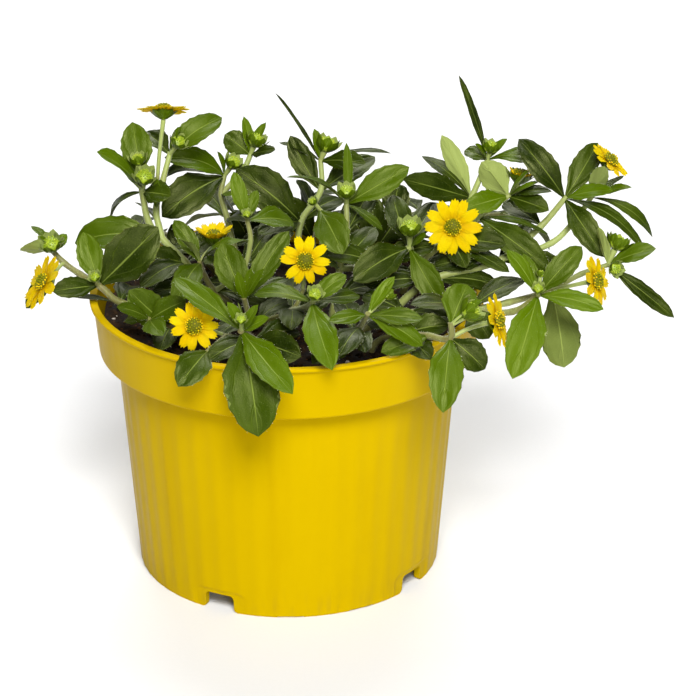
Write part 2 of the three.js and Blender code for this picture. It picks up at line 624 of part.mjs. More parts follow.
// Back right: the plant's tallest shoots, with a big bloom below them that faces the viewer
{
  const plant = leafyStem();
  const foot = [38, 6, 92];
  const low = [49, 3, 103];
  const bend = [58, 6, 109];
  const node = [67, 8, 115];
  plant.stem(rooted(30, 8, foot, low, bend, node), 2.6, 1.6);
  plant.pair(foot, 30, { rise: -0.1, front: 0.5 });
  plant.leaf(node, [53, 0, 114], { wide: 7, front: 0.8, arch: 1.5 });
  plant.leaf(node, [59, 14, 124], { wide: 9, front: -0.8, arch: 1 });
  plant.leaf(node, [80, 4, 118], { wide: 4.5, front: 0.3, arch: 1 });
  plant.leaf(node, [79, 1, 113], { wide: 7, front: 0.6, arch: 1 });
  plant.leaf(bend, [79, -1, 106], { wide: 4, front: 0.1, arch: 2 });
  plant.bract(node, [73, 3.5, 125]);
  plant.bract(node, [76, 3, 121.5], { wide: 3 });
  plant.bloom(node, [70.6, 12, 119.6], [0.2, 0.1, 0.97], { reach: 5, rays: 7, rise: 0.8, via: [69, 9.6, 116] });
  plant.bloom(low, [50, -2, 109], [0, -0.95, 0.3], { reach: 9.2, rays: 12, via: [51, 4, 106] });
  plant.leaf(low, [54, -8, 98], { wide: 7, front: 0.8, arch: 1 });
  plant.leaf(bend, [79, -7, 97], { wide: 9, front: 0.8, arch: 3 });
  plant.leaf(low, [67, -9, 97], { wide: 6, front: 0.4, arch: 1 });
  const fork = [56, 12, 113];
  const crown = [61, 18, 123];
  plant.stem([low, fork, crown], 2, 1.6);
  plant.leaf(fork, [47, 20, 130.5], { wide: 6, front: -0.8, arch: 1 });
  plant.leaf(fork, [41, 22, 123], { wide: 6, front: 0.1, arch: 2 });
  plant.leaf(fork, [35, 4, 122], { wide: 8.5, front: 0.8, arch: 0.5 });
  plant.leaf(crown, [52, 22, 149], { wide: 3, front: 0.3, arch: 1 });
  plant.leaf(crown, [80, 12, 124], { wide: 6.5, front: 0.4, arch: 3 });
  plant.leaf(crown, [54, 21, 125], { wide: 6, front: 0.4, arch: 1 });
  plant.bract(crown, [67, 18, 130]);
  plant.bract(crown, [57, 16, 129]);
  plant.bud(crown, [62, 18, 127.5], 2.4);
  plant.leaf(low, [66, -4, 104], { wide: 9, front: 0.6, arch: 1 });
}

// Right: it leans far out, with a bloom on top that looks up and outward
{
  const plant = leafyStem();
  const low = [64, -2, 98];
  const node = [84, 6, 115];
  const foot = [44, -5, 93];
  const bend = [77, 4, 107];
  plant.stem(rooted(32, -6, foot, low, bend, node), 2.8, 1.8);
  plant.pair(foot, 0, { long: 20, rise: -0.1, front: 0.5 });
  plant.pair(low, 0, { long: 20, rise: -0.1, front: 0.5 });
  plant.leaf(bend, [66, 16, 110], { wide: 8, front: 0.5, arch: 1 });
  plant.leaf(low, [74, 12, 104], { wide: 8, front: 0.5, arch: 1 });
  plant.leaf(node, [70, 12, 132], { wide: 8.5, front: 0.8, arch: 5 });
  plant.leaf(node, [73, 21, 121.4], { wide: 6, front: 0.2, arch: 3 });
  plant.leaf(node, [94.5, 18, 128.7], { wide: 8, front: 0.7, arch: 1 });
  plant.leaf(node, [95.2, -8, 101.5], { wide: 8, front: 0.9, arch: 3 });
  plant.leaf(node, [97.7, -3, 121], { wide: 6, front: 0.5, arch: 1 });
  plant.leaf(node, [107.6, -4, 102.4], { wide: 5.5, front: 0.3, arch: 4 });
  const elbow = [88, 4, 110];
  const crown = [92, 7, 115];
  plant.stem([low, [80, 0, 103], elbow, crown], 2, 1.6);
  plant.leaf(crown, [95, -1, 128], { wide: 5.5, front: -0.9, arch: 0.5 });
  plant.leaf(crown, [103.7, 1, 120.4], { wide: 5, front: 0.2, arch: 1 });
  plant.leaf(crown, [111, 5, 102.8], { wide: 4.5, front: 0.4, arch: 4.5 });
  plant.leaf(crown, [102.2, 11, 120.6], { wide: 3.5, front: 0.1, arch: 0.5 });
  plant.bloom(crown, [97, 9, 125.6], [0.63, -0.12, 0.77], { reach: 7.4, via: [92.5, 8, 119] });
}

// Right front: a fresh rosette, and a runner that ends in two buds
{
  const plant = leafyStem();
  const rim_crossing = [54, -27, 92];
  const low = [67, -30, 93];
  const node = [74, -32, 99];
  const foot = [36, -22, 89];
  plant.stem(rooted(24, -18, foot, rim_crossing, low, node), 2.6, 1.8);
  plant.pair(foot, 140, { rise: 0.1, front: 0.5 });
  plant.pair(rim_crossing, 30, { long: 20, rise: 0.3 });
  plant.leaf(node, [65, -26, 111], { wide: 6, front: 0.2, arch: 1 });
  plant.leaf(node, [70, -24, 109], { wide: 4.5, front: 0.6, arch: 0.5 });
  plant.leaf(node, [87, -26, 112], { wide: 7.5, front: 0.8, arch: 2 });
  plant.leaf(node, [93, -38, 97], { wide: 6.5, front: 0.6, arch: 2 });
  plant.leaf(node, [66, -52, 81], { wide: 11, front: 0.9, arch: 3 });
  plant.bud(node, [74, -34, 102], 1.6);
  plant.bud(node, [75, -30, 105], 1.3);
  const fork = [79, -18, 95];
  const crown = [96, -13, 101];
  plant.stem([rim_crossing, [66, -23, 93], fork, [88, -13, 98], crown], 2, 1.4);
  plant.leaf(fork, [82, -38, 78.5], { wide: 12, front: -0.9, arch: 1 });
  plant.leaf(rim_crossing, [60, -34, 86], { wide: 9, front: 0.7, arch: 1 });
  plant.leaf(crown, [110, -15, 107], { wide: 7, front: 0.4, arch: 1 });
  plant.leaf(crown, [93, -10, 112], { wide: 5, front: -0.3, arch: 0.5 });
  plant.leaf(crown, [116, -18, 86], { wide: 5.5, front: 0.6, arch: 0.8 });
  plant.bud(crown, [98, -17, 101.4], 2);
  plant.bud(crown, [99, -11, 107.6], 3);
  plant.bloom(fork, [91.3, -22, 99.4], [0.84, -0.43, 0.31], { reach: 8.2, rays: 10 });
}

// Front right: a wide bud, a bloom turned sideways, and leaves that hang over the rim
{
  const plant = leafyStem();
  const foot = [34, -38, 89];
  const low = [42, -46, 92];
  const node = [48, -50, 93];
  const neck = [48, -50, 97];
  plant.stem(rooted(26, -30, foot, low, node, neck), 2.2, 1.8);
  plant.pair(foot, 120, { rise: -0.1, front: 0.5 });
  plant.leaf(low, [28, -51, 89], { wide: 7, front: 0.6, arch: 1 });
  plant.bud(neck, [54, -50, 101.5], 3.4);
  plant.leaf(node, [45.5, -69, 78], { wide: 10, front: 0.9, arch: 3 });
  plant.leaf(node, [58, -54, 85], { wide: 9, front: 0.8, arch: 1 });
  plant.leaf(foot, [48, -38, 92], { wide: 8, front: 0.6, arch: 1 });
  plant.leaf(neck, [53, -41, 106], { wide: 10.5, front: 0.8, arch: 0.5 });
  plant.bract(neck, [57, -50, 105], { wide: 4 });
  plant.bloom(node, [61, -45.5, 96.4], [0.9, -0.27, 0.33], { via: [53, -48, 95], reach: 8.2 });
}

// Leaves of the stems at the back stand in pairs, each pair square to the one before
function pairs(plant, path, first_turn, long, wide, seed) {
  const draw = seeded(seed);
  for (let node = 0; node < path.length; node += 1) {
    const before = Math.max(node - 1, 0);
    const along = vector(path[before + 1]).sub(vector(path[before])).normalize();
    const level = along.clone().cross(upward).normalize();
    const lift = level.clone().cross(along).normalize();
    const turn = first_turn + (node % 2) * 0.5 * Math.PI;
    [0, Math.PI].forEach((half) => {
      const angle = turn + half + 0.3 * (draw() - 0.5);
      const out = level.clone().multiplyScalar(Math.cos(angle)).addScaledVector(lift, 0.6 * Math.sin(angle));
      const length = long * (0.85 + 0.3 * draw());
      const tip = vector(path[node]).addScaledVector(out, 0.8 * length).addScaledVector(along, 0.5 * length);
      plant.leaf(path[node], tip.toArray(), { wide, front: -0.2, arch: 2, simple: true });
    });
  }
}

// Back: five creeping stems that fill the side away from the viewer
{
  const plant = leafyStem();
  const path = [[-29, 32, 86], [-40, 43, 89.3], [-49, 53, 86], [-55, 62, 80]];
  plant.stem(rooted(-22, 26, ...path), 2.4, 1.6);
  pairs(plant, path, 0.3, 17, 9, 11);
  plant.leaf(path[0], [-37, 34, 96], { wide: 9, front: 0.9, arch: 1 });
}
{
  const plant = leafyStem();
  const path = [[-12, 41, 86], [-17, 52, 91], [-22, 63.91, 88]];
  plant.stem(rooted(-8, 32, ...path), 2.4, 1.6);
  pairs(plant, path, 0.6, 17, 9, 23);
  plant.leaf(path[0], [-18, 40, 98], { wide: 10, front: 0.9, arch: 1 });
  plant.leaf(path[0], [-7, 39, 99], { wide: 9, front: 0.9, arch: 1 });
}
{
  const plant = leafyStem();
  const path = [[7, 42, 88], [6, 53, 92], [4, 63, 90]];
  plant.stem(rooted(8, 34, ...path), 2.4, 1.6);
  pairs(plant, path, 0.4, 18, 9, 37);
  plant.leaf(path[0], [-1, 40, 103], { wide: 9, front: 0.9, arch: 1 });
  plant.bloom(path[2], [1, 74.2, 80], [0, 0.95, 0.3], { reach: 7.6, via: [3, 69, 85] });
}
{
  const plant = leafyStem();
  const path = [[27, 35, 87], [34, 48, 92], [42, 60, 90]];
  plant.stem(rooted(22, 26, ...path), 2.4, 1.6);
  pairs(plant, path, 0.1, 18, 9, 41);
  plant.leaf(path[0], [17, 38, 101], { wide: 9, front: 0.9, arch: 1 });
  plant.leaf(path[0], [26, 39, 104], { wide: 9, front: 0.9, arch: 1 });
  plant.leaf(path[0], [37, 41, 100], { wide: 9, front: 0.9, arch: 1 });
  plant.bloom(path[2], [50, 72, 80], [0.4, 0.85, 0.35], { reach: 7.8, via: [46, 67, 86] });
}
{
  const plant = leafyStem();
  const path = [[43, 21, 90], [55, 32, 97], [66, 42, 96], [75, 51, 90]];
  plant.stem(rooted(36, 16, ...path), 2.4, 1.6);
  pairs(plant, path, 0.7, 17, 9, 53);
}

leafy_stems.forEach((stem) => stem.build());

// Pot: one injection-moulded shell with a collar, a lip and a foot ring under its base plate
{
  const collar_foot = pot_height - collar_height;
  const profile = [
    [0, base_plate_height],
    [foot_radius - foot_ring, base_plate_height],
    [foot_radius - foot_ring, 0],
    [foot_radius, 0],
    [body_top_radius, collar_foot],
    [collar_foot_radius - 0.4, collar_foot],
    [collar_foot_radius, collar_foot + 0.6],
    [collar_top_radius, pot_height - 1.4],
    [rim_radius, pot_height - 1],
    [rim_radius, pot_height],
    [collar_top_radius - wall, pot_height],
    [collar_foot_radius - wall, collar_foot + wall],
    [body_top_radius - wall, collar_foot + wall],
    [foot_radius - wall + 0.5, base_plate_height + base_plate],
    [0, base_plate_height + base_plate],
  ].map(([radius, height]) => new THREE.Vector2(radius, height));
  const shell = new THREE.LatheGeometry(profile, round_sides);
  shell.rotateX(Math.PI / 2);
  let pot = solid(shell);

  // Four arched notches let water out under the foot ring
  const notch_angles = [-26, 55, 154, 235];
  const notch_width = 9.5;
  const notch_height = 5.6;
  const notch_corner = 1.4;
  const arch = new THREE.Shape();
  arch.moveTo(-notch_width / 2, -1);
  arch.lineTo(notch_width / 2, -1);
  arch.lineTo(notch_width / 2, notch_height - notch_corner);
  arch.lineTo(notch_width / 2 - notch_corner, notch_height);
  arch.lineTo(-notch_width / 2 + notch_corner, notch_height);
  arch.lineTo(-notch_width / 2, notch_height - notch_corner);
  notch_angles.forEach((degrees) => {
    const cutter = new THREE.ExtrudeGeometry(arch, { depth: 8, bevelEnabled: false });
    cutter.rotateX(Math.PI / 2);
    cutter.translate(0, 4 - foot_radius, 0);
    cutter.rotateZ((degrees * Math.PI) / 180);
    pot = pot.subtract(solid(cutter));
  });

  // Drain holes in the base plate
  const drain_count = 6;
  const drain_radius = 4;
  for (let drain = 0; drain < drain_count; drain += 1) {
    const angle = (2 * Math.PI * (drain + 0.5)) / drain_count;
    const hole = new THREE.CylinderGeometry(drain_radius, drain_radius, 6, 6);
    hole.rotateX(Math.PI / 2);
    hole.translate(34 * Math.cos(angle), 34 * Math.sin(angle), base_plate_height);
    pot = pot.subtract(solid(hole));
  }
  place("pot", pot, pot_yellow);
}

// Soil: it fills the pot to just under the rim, and each stem stands in a hole in it
{
  const draw = seeded(5);
  const sides = 16;
  const floor = base_plate_height + base_plate + gap;
  const step_height = pot_height - collar_height + wall + gap;
  const surface_radius = collar_foot_radius - wall - 2 * gap;
  const rings = [
    ringOf(sides, foot_radius - wall - 2 * gap, floor),
    ringOf(sides, body_top_radius - wall - 2 * gap, step_height),
    ringOf(sides, surface_radius, step_height),
    ringOf(sides, surface_radius, soil_level - 1.5),
  ];
  [0.75, 0.35].forEach((share) => {
    const ring = ringOf(sides, surface_radius * share, soil_level);
    ring.forEach((point) => { point.z += soil_roughness * (2 * draw() - 1); });
    rings.push(ring);
  });
  let soil = solid(skin(rings));
  leafy_stems.forEach((stem) => {
    stem.roots.forEach((root) => { soil = soil.subtract(root); });
  });
  place("soil", soil, soil_brown);
}

// The origin lies on the ground under the middle of the whole plant
potted_zinnia.updateMatrixWorld(true);
const extent = new THREE.Box3().setFromObject(potted_zinnia);
const middle = extent.getCenter(new THREE.Vector3());
potted_zinnia.position.set(-middle.x, -middle.y, 0);

export default potted_zinnia;
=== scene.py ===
import math
import random

import bmesh
import bpy
from mathutils import Matrix, Vector, noise
from mathutils.geometry import interpolate_bezier


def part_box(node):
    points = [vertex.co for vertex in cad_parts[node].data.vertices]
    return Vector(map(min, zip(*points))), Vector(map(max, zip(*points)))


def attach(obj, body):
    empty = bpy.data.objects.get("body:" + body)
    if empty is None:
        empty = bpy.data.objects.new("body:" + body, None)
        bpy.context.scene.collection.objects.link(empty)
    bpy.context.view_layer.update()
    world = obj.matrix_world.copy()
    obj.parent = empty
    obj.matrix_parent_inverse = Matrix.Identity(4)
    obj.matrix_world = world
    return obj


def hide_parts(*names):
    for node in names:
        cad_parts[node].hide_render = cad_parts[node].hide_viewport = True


# A creeping zinnia in a nursery pot. Each piece is drawn in millimetres round the pot's axis, with
# the ground at 0 and the viewer at -Y, and is then set down in the frame in metres.
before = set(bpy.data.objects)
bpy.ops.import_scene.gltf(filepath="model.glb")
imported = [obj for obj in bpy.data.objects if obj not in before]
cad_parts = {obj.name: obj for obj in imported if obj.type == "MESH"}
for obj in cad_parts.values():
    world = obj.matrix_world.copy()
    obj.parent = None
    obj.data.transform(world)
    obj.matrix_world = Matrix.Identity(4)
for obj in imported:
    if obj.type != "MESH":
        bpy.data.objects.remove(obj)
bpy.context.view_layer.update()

# Pot: one injection-moulded polypropylene shell in bright half-gloss yellow. A plain collar
# stiffens its rim, shallow flutes run down its body, its foot ring has four arched notches that
# let water out, and its base plate is pierced by drain holes.
pot_low, pot_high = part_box("pot")
pot_middle = (pot_low + pot_high) / 2
pot_height = 1000 * pot_high.z
rim_radius = 500 * (pot_high.x - pot_low.x)
pot_wall = 1.3
lip = 1.1
collar_height = 17
collar_foot = pot_height - collar_height
collar_top_radius = rim_radius - lip
collar_foot_radius = rim_radius - 2.6
body_top_radius = rim_radius - 7.8
foot_radius = rim_radius - 13.4
foot_ring = 2.2
base_plate = (6, 7.2)
flutes = 51
flute_depth = 0.2
pot_steps = 8 * flutes
notch_turns = (-26, 55, 154, 235)
notch_width, notch_height = 9.5, 5.6
notch_corner, notch_flare = 1.4, 1.3
panel_depth, panel_border, panel_edge = 0.4, 3.1, 0.5
scallop_width, scallop_height, scallop_corner, scallop_flare = 8, 0.35, 0.15, 0.3
scallop_spacing = 27.5
drains, drain_radius, drain_circle = 6, 4, 34


class Finish:
    """A material whose colour, roughness and relief come from nodes."""

    def __init__(self, name, constants):
        self.material = bpy.data.materials.new(name)
        self.material.use_nodes = True
        self.tree = self.material.node_tree
        self.shader = self.tree.nodes["Principled BSDF"]
        self.places = self.tree.nodes.new("ShaderNodeTexCoord").outputs["Object"]
        self.feed(self.shader, constants)

    def feed(self, node, values):
        for key, value in values.items():
            if isinstance(value, bpy.types.NodeSocket):
                self.tree.links.new(value, node.inputs[key])
            else:
                node.inputs[key].default_value = value

    def node(self, kind, values, **settings):
        node = self.tree.nodes.new(kind)
        for key, value in settings.items():
            setattr(node, key, value)
        self.feed(node, values)
        return node

    def math(self, operation, *values):
        return self.node("ShaderNodeMath", dict(enumerate(values)), operation=operation).outputs[0]

    def noise(self, scale, detail=3, where=None):
        values = {"Vector": where or self.places, "Scale": scale, "Detail": detail}
        return self.node("ShaderNodeTexNoise", values).outputs["Fac"]

    def cells(self, scale, feature="F1"):
        values = {"Vector": self.places, "Scale": scale}
        return self.node("ShaderNodeTexVoronoi", values, feature=feature).outputs["Distance"]

    def stretched(self, scale):
        return self.node("ShaderNodeMapping", {"Vector": self.places, "Scale": scale}).outputs[0]

    def step(self, value, low, high, from_share=0, to_share=1):
        """A soft step: from_share up to low, to_share from high on."""
        values = {0: value, 1: low, 2: high, 3: from_share, 4: to_share}
        return self.node("ShaderNodeMapRange", values, interpolation_type="SMOOTHSTEP").outputs[0]

    def mix(self, share, first, second):
        values = {0: share, 6: first, 7: second}
        return self.node("ShaderNodeMix", values, data_type="RGBA").outputs[2]

    def attribute(self, name):
        return self.node("ShaderNodeAttribute", {}, attribute_name=name).outputs["Fac"]

    def relief(self, height, strength, depth, under=None):
        values = {"Height": height, "Strength": strength, "Distance": depth}
        if under:
            values["Normal"] = under
        return self.node("ShaderNodeBump", values).outputs[0]

    def done(self, colour, roughness, normal):
        self.feed(self.shader, {"Base Color": colour, "Roughness": roughness, "Normal": normal})
        return self.material


def colour(red, green, blue):
    """A colour as seen on a screen, 0 to 255, for a node's socket."""
    linear = [(share / 255) ** 2.2 for share in (red, green, blue)]
    return (*linear, 1)


def set_down(shape, name, node, materials, crease=40):
    """Turns a shape drawn in millimetres into a piece that stands in for a node of the frame."""
    bmesh.ops.recalc_face_normals(shape, faces=shape.faces[:])
    place = Matrix.Translation((pot_middle.x, pot_middle.y, 0)) @ Matrix.Scale(0.001, 4)
    bmesh.ops.transform(shape, matrix=place, verts=shape.verts[:])
    mesh = bpy.data.meshes.new(name)
    shape.to_mesh(mesh)
    shape.free()
    for face in mesh.polygons:
        face.use_smooth = True
    mesh.set_sharp_from_angle(angle=math.radians(crease))
    for material in materials:
        mesh.materials.append(material)
    piece = bpy.data.objects.new(name, mesh)
    bpy.context.scene.collection.objects.link(piece)
    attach(piece, "root")
    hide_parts(node)


def pot_plastic():
    finish = Finish("yellow pot plastic", {"IOR": 1.22, "Specular IOR Level": 0.12,
                                           "Specular Tint": colour(255, 225, 60)})
    clouds = finish.noise(35, 3)
    streaks = finish.noise(1, 4, finish.stretched((160, 160, 12)))
    scuffs = finish.noise(1, 6, finish.stretched((500, 500, 90)))
    grain = finish.noise(2600, 2)
    base = finish.mix(clouds, colour(180, 151, 0), colour(174, 144, 0))
    base = finish.mix(finish.step(streaks, 0.5, 0.8, 0, 0.15), base, colour(152, 116, 0))
    height = finish.node("ShaderNodeSeparateXYZ", {0: finish.places}).outputs["Z"]
    near_ground = finish.step(height, 0.012, 0, 0, 1)
    dust = finish.math("MULTIPLY", near_ground, finish.step(scuffs, 0.45, 0.7))
    base = finish.mix(finish.math("MULTIPLY", dust, 0.2), base, colour(140, 116, 40))
    wear = finish.math("ADD", streaks, finish.math("MULTIPLY", scuffs, 0.4))
    roughness = finish.step(wear, 0.4, 1, 0.3, 0.5)
    waves = finish.relief(streaks, 0.25, 0.0004)
    return finish.done(base, roughness, finish.relief(grain, 0.12, 0.0001, waves))


def flute(turn, height):
    """How far the body's wall stands in there: a shallow, soft-edged channel, fading at both ends."""
    wave = math.tanh(1.6 * math.cos(flutes * (turn + math.pi / 2))) / math.tanh(1.6)
    ends = min(1, max(0, (collar_foot - 4 - height) / 6), max(0, (height + 4) / 8))
    return flute_depth * (0.5 + 0.5 * wave) * ends


def notch_frame(turn, height):
    """How far the foot's wall stands in round its notches: each is set in a shallow arched panel."""
    sunk = 0
    for degrees in notch_turns:
        away = (math.degrees(turn) + 90 - degrees + 180) % 360 - 180
        beside = abs(math.radians(away)) * foot_radius - notch_width / 2
        above = height - notch_height + 1.6
        outside = math.hypot(max(0, beside - 1), max(0, above)) if above > 0 else beside - 1
        sunk = max(sunk, panel_depth * min(1, max(0, (panel_border - outside) / panel_edge)))
    return sunk


def pot_shell():
    shell = bmesh.new()
    heights = [0.45 * row for row in range(22)] + [collar_foot * row / 14 for row in range(3, 15)]
    wall = [(foot_radius + (body_top_radius - foot_radius) * height / collar_foot, height)
            for height in heights]
    outside = [
        (0, base_plate[0]), (foot_radius - foot_ring, base_plate[0]), (foot_radius - foot_ring, 0),
        *wall,
        (collar_foot_radius - 0.4, collar_foot), (collar_foot_radius, collar_foot + 0.6),
        (collar_top_radius, pot_height - 1.5), (rim_radius, pot_height - 1), (rim_radius, pot_height),
    ]
    inside = [
        (collar_top_radius - pot_wall, pot_height), (collar_foot_radius - pot_wall, collar_foot + pot_wall),
        (body_top_radius - pot_wall, collar_foot + pot_wall),
        (foot_radius - pot_wall + 0.5, base_plate[1]), (0, base_plate[1]),
    ]
    profile = [shell.verts.new((radius, 0, height)) for radius, height in outside + inside]
    for lower, upper in zip(profile, profile[1:]):
        shell.edges.new((lower, upper))
    corners = profile[1:4] + profile[2 + len(wall):-1]
    bmesh.ops.bevel(shell, geom=corners, offset=0.35, segments=3, profile=0.5, affect="VERTICES",
                    material=-1)
    bmesh.ops.spin(shell, geom=shell.verts[:] + shell.edges[:], cent=(0, 0, 0), axis=(0, 0, 1),
                   angle=2 * math.pi, steps=pot_steps, use_merge=True, use_duplicate=False)
    bmesh.ops.remove_doubles(shell, verts=shell.verts[:], dist=1e-4)
    for vert in shell.verts:
        radius = math.hypot(vert.co.x, vert.co.y)
        outer = foot_radius + (body_top_radius - foot_radius) * vert.co.z / collar_foot
        if abs(radius - outer) < 0.05 and vert.co.z < collar_foot - 1:
            turn = math.atan2(vert.co.y, vert.co.x)
            panel = notch_frame(turn, vert.co.z)
            sunk = 1 - (panel + flute(turn, vert.co.z) * (1 - panel / panel_depth)) / radius
            vert.co.x *= sunk
            vert.co.y *= sunk
    return shell


def edge_of_arch(half, height, corner, flare):
    """One side of an arched notch, from its flared foot up over its rounded corner."""
    turns = [math.radians(22.5 * step) for step in range(5)]
    foot = [(half + flare * (1 - math.sin(turn)), flare * (1 - math.cos(turn))) for turn in turns]
    top = [(half - corner * (1 - math.cos(turn)), height - corner * (1 - math.sin(turn))) for turn in turns]
    return foot + top


def pot_openings():
    """Everything that is cut out of the shell: notches and flat scallops under the foot, and the
    holes in the base plate."""
    cutters = bmesh.new()
    scallops = [turn + scallop_spacing * step for turn in notch_turns for step in (1, 2)]
    arches = [(turn, notch_width, notch_height, notch_corner, notch_flare) for turn in notch_turns]
    arches += [(turn, scallop_width, scallop_height, scallop_corner, scallop_flare) for turn in scallops]
    for degrees, width, height, corner, flare in arches:
        half = width / 2
        edge = [(half + flare, -1)] + edge_of_arch(half, height, corner, flare)
        outline = edge + [(-across, up) for across, up in reversed(edge)]
        front = [cutters.verts.new((across, -foot_radius - 4, up)) for across, up in outline]
        pushed = bmesh.ops.extrude_face_region(cutters, geom=[cutters.faces.new(front)])["geom"]
        back = [part for part in pushed if isinstance(part, bmesh.types.BMVert)]
        bmesh.ops.translate(cutters, vec=(0, 8, 0), verts=back)
        bmesh.ops.rotate(cutters, cent=(0, 0, 0), matrix=Matrix.Rotation(math.radians(degrees), 3, "Z"),
                         verts=front + back)
    for drain in range(drains):
        angle = 2 * math.pi * (drain + 0.5) / drains
        place = (drain_circle * math.cos(angle), drain_circle * math.sin(angle), base_plate[0])
        bmesh.ops.create_cone(cutters, cap_ends=True, segments=24, radius1=drain_radius,
                              radius2=drain_radius, depth=6, matrix=Matrix.Translation(place))
    return cutters


def cut_out(shell, cutters):
    """The shell less the cutters, as a shape."""
    objects = []
    for name, shape in (("shell blank", shell), ("cutters", cutters)):
        bmesh.ops.recalc_face_normals(shape, faces=shape.faces[:])
        mesh = bpy.data.meshes.new(name)
        shape.to_mesh(mesh)
        shape.free()
        objects.append(bpy.data.objects.new(name, mesh))
        bpy.context.scene.collection.objects.link(objects[-1])
    blank, tool = objects
    cut = blank.modifiers.new("openings", "BOOLEAN")
    cut.operation = "DIFFERENCE"
    cut.solver = "EXACT"
    cut.object = tool
    bpy.context.view_layer.update()
    finished = blank.evaluated_get(bpy.context.evaluated_depsgraph_get())
    result = bmesh.new()
    result.from_mesh(finished.to_mesh())
    finished.to_mesh_clear()
    for used in objects:
        mesh = used.data
        bpy.data.objects.remove(used)
        bpy.data.meshes.remove(mesh)
    return result


set_down(cut_out(pot_shell(), pot_openings()), "nursery_pot", "pot", [pot_plastic()], crease=30)

# Soil: dark peat with bark crumbs and a few pale grains, filled to just under the lip. It is
# loose and rough on top, and stands a little higher against the wall.
soil_level = 80
root_depth = 8
soil_gap = 0.6
soil_radius = collar_foot_radius - pot_wall - soil_gap
soil_floor = base_plate[1] + 0.4
soil_rows = 60
bank_start, bank_slope = 0.8, 9
handfuls, crumbs_in_one = 12, 75


def rolled(shape, around, along, form, material=0, **layers):
    """A closed skin: a grid rolled up round its length. form gives each point from two shares,
    one round the roll and one along it, and where its ends shrink to a point or line they close."""
    shape.loops.layers.uv.verify()
    grid = bmesh.ops.create_grid(shape, x_segments=around, y_segments=along, size=0.5,
                                 calc_uvs=True)["verts"]
    for vert in grid:
        vert.co = form(round(vert.co.x + 0.5, 5), round(vert.co.y + 0.5, 5))
    for layer, value in layers.items():
        for vert in grid:
            vert[shape.verts.layers.float[layer]] = value
    for face in {face for vert in grid for face in vert.link_faces}:
        face.material_index = material
    bmesh.ops.remove_doubles(shape, verts=grid, dist=1e-4)


def peat():
    finish = Finish("damp peat", {"Specular IOR Level": 0.12})
    clods = finish.noise(260, 6)
    fibres = finish.noise(1, 5, finish.stretched((900, 300, 600)))
    crumb = finish.attribute("crumb")
    base = finish.mix(finish.step(clods, 0.35, 0.7), colour(22, 15, 7), colour(48, 34, 20))
    base = finish.mix(finish.step(fibres, 0.55, 0.75, 0, 0.5), base, colour(84, 60, 34))
    base = finish.mix(finish.step(crumb, 0.2, 0.9, 0, 0.6), base, colour(96, 68, 38))
    base = finish.mix(finish.step(crumb, 0.955, 0.965), base, colour(205, 196, 184))
    roughness = finish.step(clods, 0.3, 0.7, 0.7, 0.95)
    fine = finish.relief(finish.noise(1800, 4), 0.6, 0.0004)
    return finish.done(base, roughness, finish.relief(clods, 0.9, 0.0012, fine))


def soil_height(x, y):
    lumps = noise.fractal(Vector((x, y, 3)) / 9, 0.8, 2.1, 5)
    banked = max(0, math.hypot(x, y) / soil_radius - bank_start) * bank_slope
    return soil_level + 0.9 * lumps + banked


soil = bmesh.new()
soil.verts.layers.float.new("crumb")


def soil_form(turn, share):
    """Bottom, side, step under the collar, then the rough top in to its middle."""
    angle = 2 * math.pi * turn
    rows = [(0, soil_floor), (foot_radius - pot_wall - soil_gap, soil_floor),
            (body_top_radius - pot_wall - soil_gap, collar_foot + pot_wall + 0.4),
            (soil_radius, collar_foot + pot_wall + 0.4), (soil_radius, soil_level - 4)]
    row = round(share * soil_rows)
    if row < len(rows):
        radius, height = rows[row]
        return radius * math.cos(angle), radius * math.sin(angle), height
    inward = (soil_rows - row) / (soil_rows - len(rows))
    x, y = soil_radius * inward * math.cos(angle), soil_radius * inward * math.sin(angle)
    return x, y, soil_height(x, y)


rolled(soil, 150, soil_rows, soil_form, crumb=0)
draw = random.Random(5)
for handful in range(handfuls):
    grains = bmesh.new()
    tone_layer = grains.verts.layers.float.new("crumb")
    for crumb in range(crumbs_in_one):
        reach, turn = soil_radius * math.sqrt(draw.random()) * 0.98, 2 * math.pi * draw.random()
        x, y = reach * math.cos(turn), reach * math.sin(turn)
        size, tone = 0.35 + 1.1 * draw.random() ** 3, draw.random()
        spin = Matrix.Rotation(6.3 * draw.random(), 4, Vector((draw.random(), draw.random(), draw.random())))
        flat = Matrix.Diagonal((size, size * (0.5 + draw.random()), size * 0.6, 1))
        place = Matrix.Translation((x, y, soil_height(x, y))) @ spin @ flat
        grain = bmesh.ops.create_icosphere(grains, subdivisions=1, radius=1, matrix=place)["verts"]
        for vert in grain:
            vert[tone_layer] = tone
            vert.co += Vector([draw.uniform(-0.12, 0.12) * size for axis in range(3)])
    loose = bpy.data.meshes.new("crumbs")
    grains.to_mesh(loose)
    grains.free()
    soil.from_mesh(loose)
    bpy.data.meshes.remove(loose)
set_down(soil, "potting_soil", "soil", [peat()], crease=60)

# Leafy stems: soft herb stems, pale green above and olive brown below, with short white hairs.
# Their leaves stand in pairs at swollen nodes; at the tips sit small bracts and round flower buds.
line_step = 1.5
stem_sides = 10
stem_end = 0.9
leaf_skin = 0.4
leaf_trough = 0.22
narrow_leaf = 7
pair_leaf = 8
bloom_stalk = 1.2
hair_radius = 0.03
stem_hair_step = 0.32
cup_radius = 2.4
cup_height = 2.3
toward_viewer = Vector((0, -0.92, 0.39))
upward = Vector((0, 0, 1))
BARK, UPPER, UNDER, DOWN, BUD = range(5)


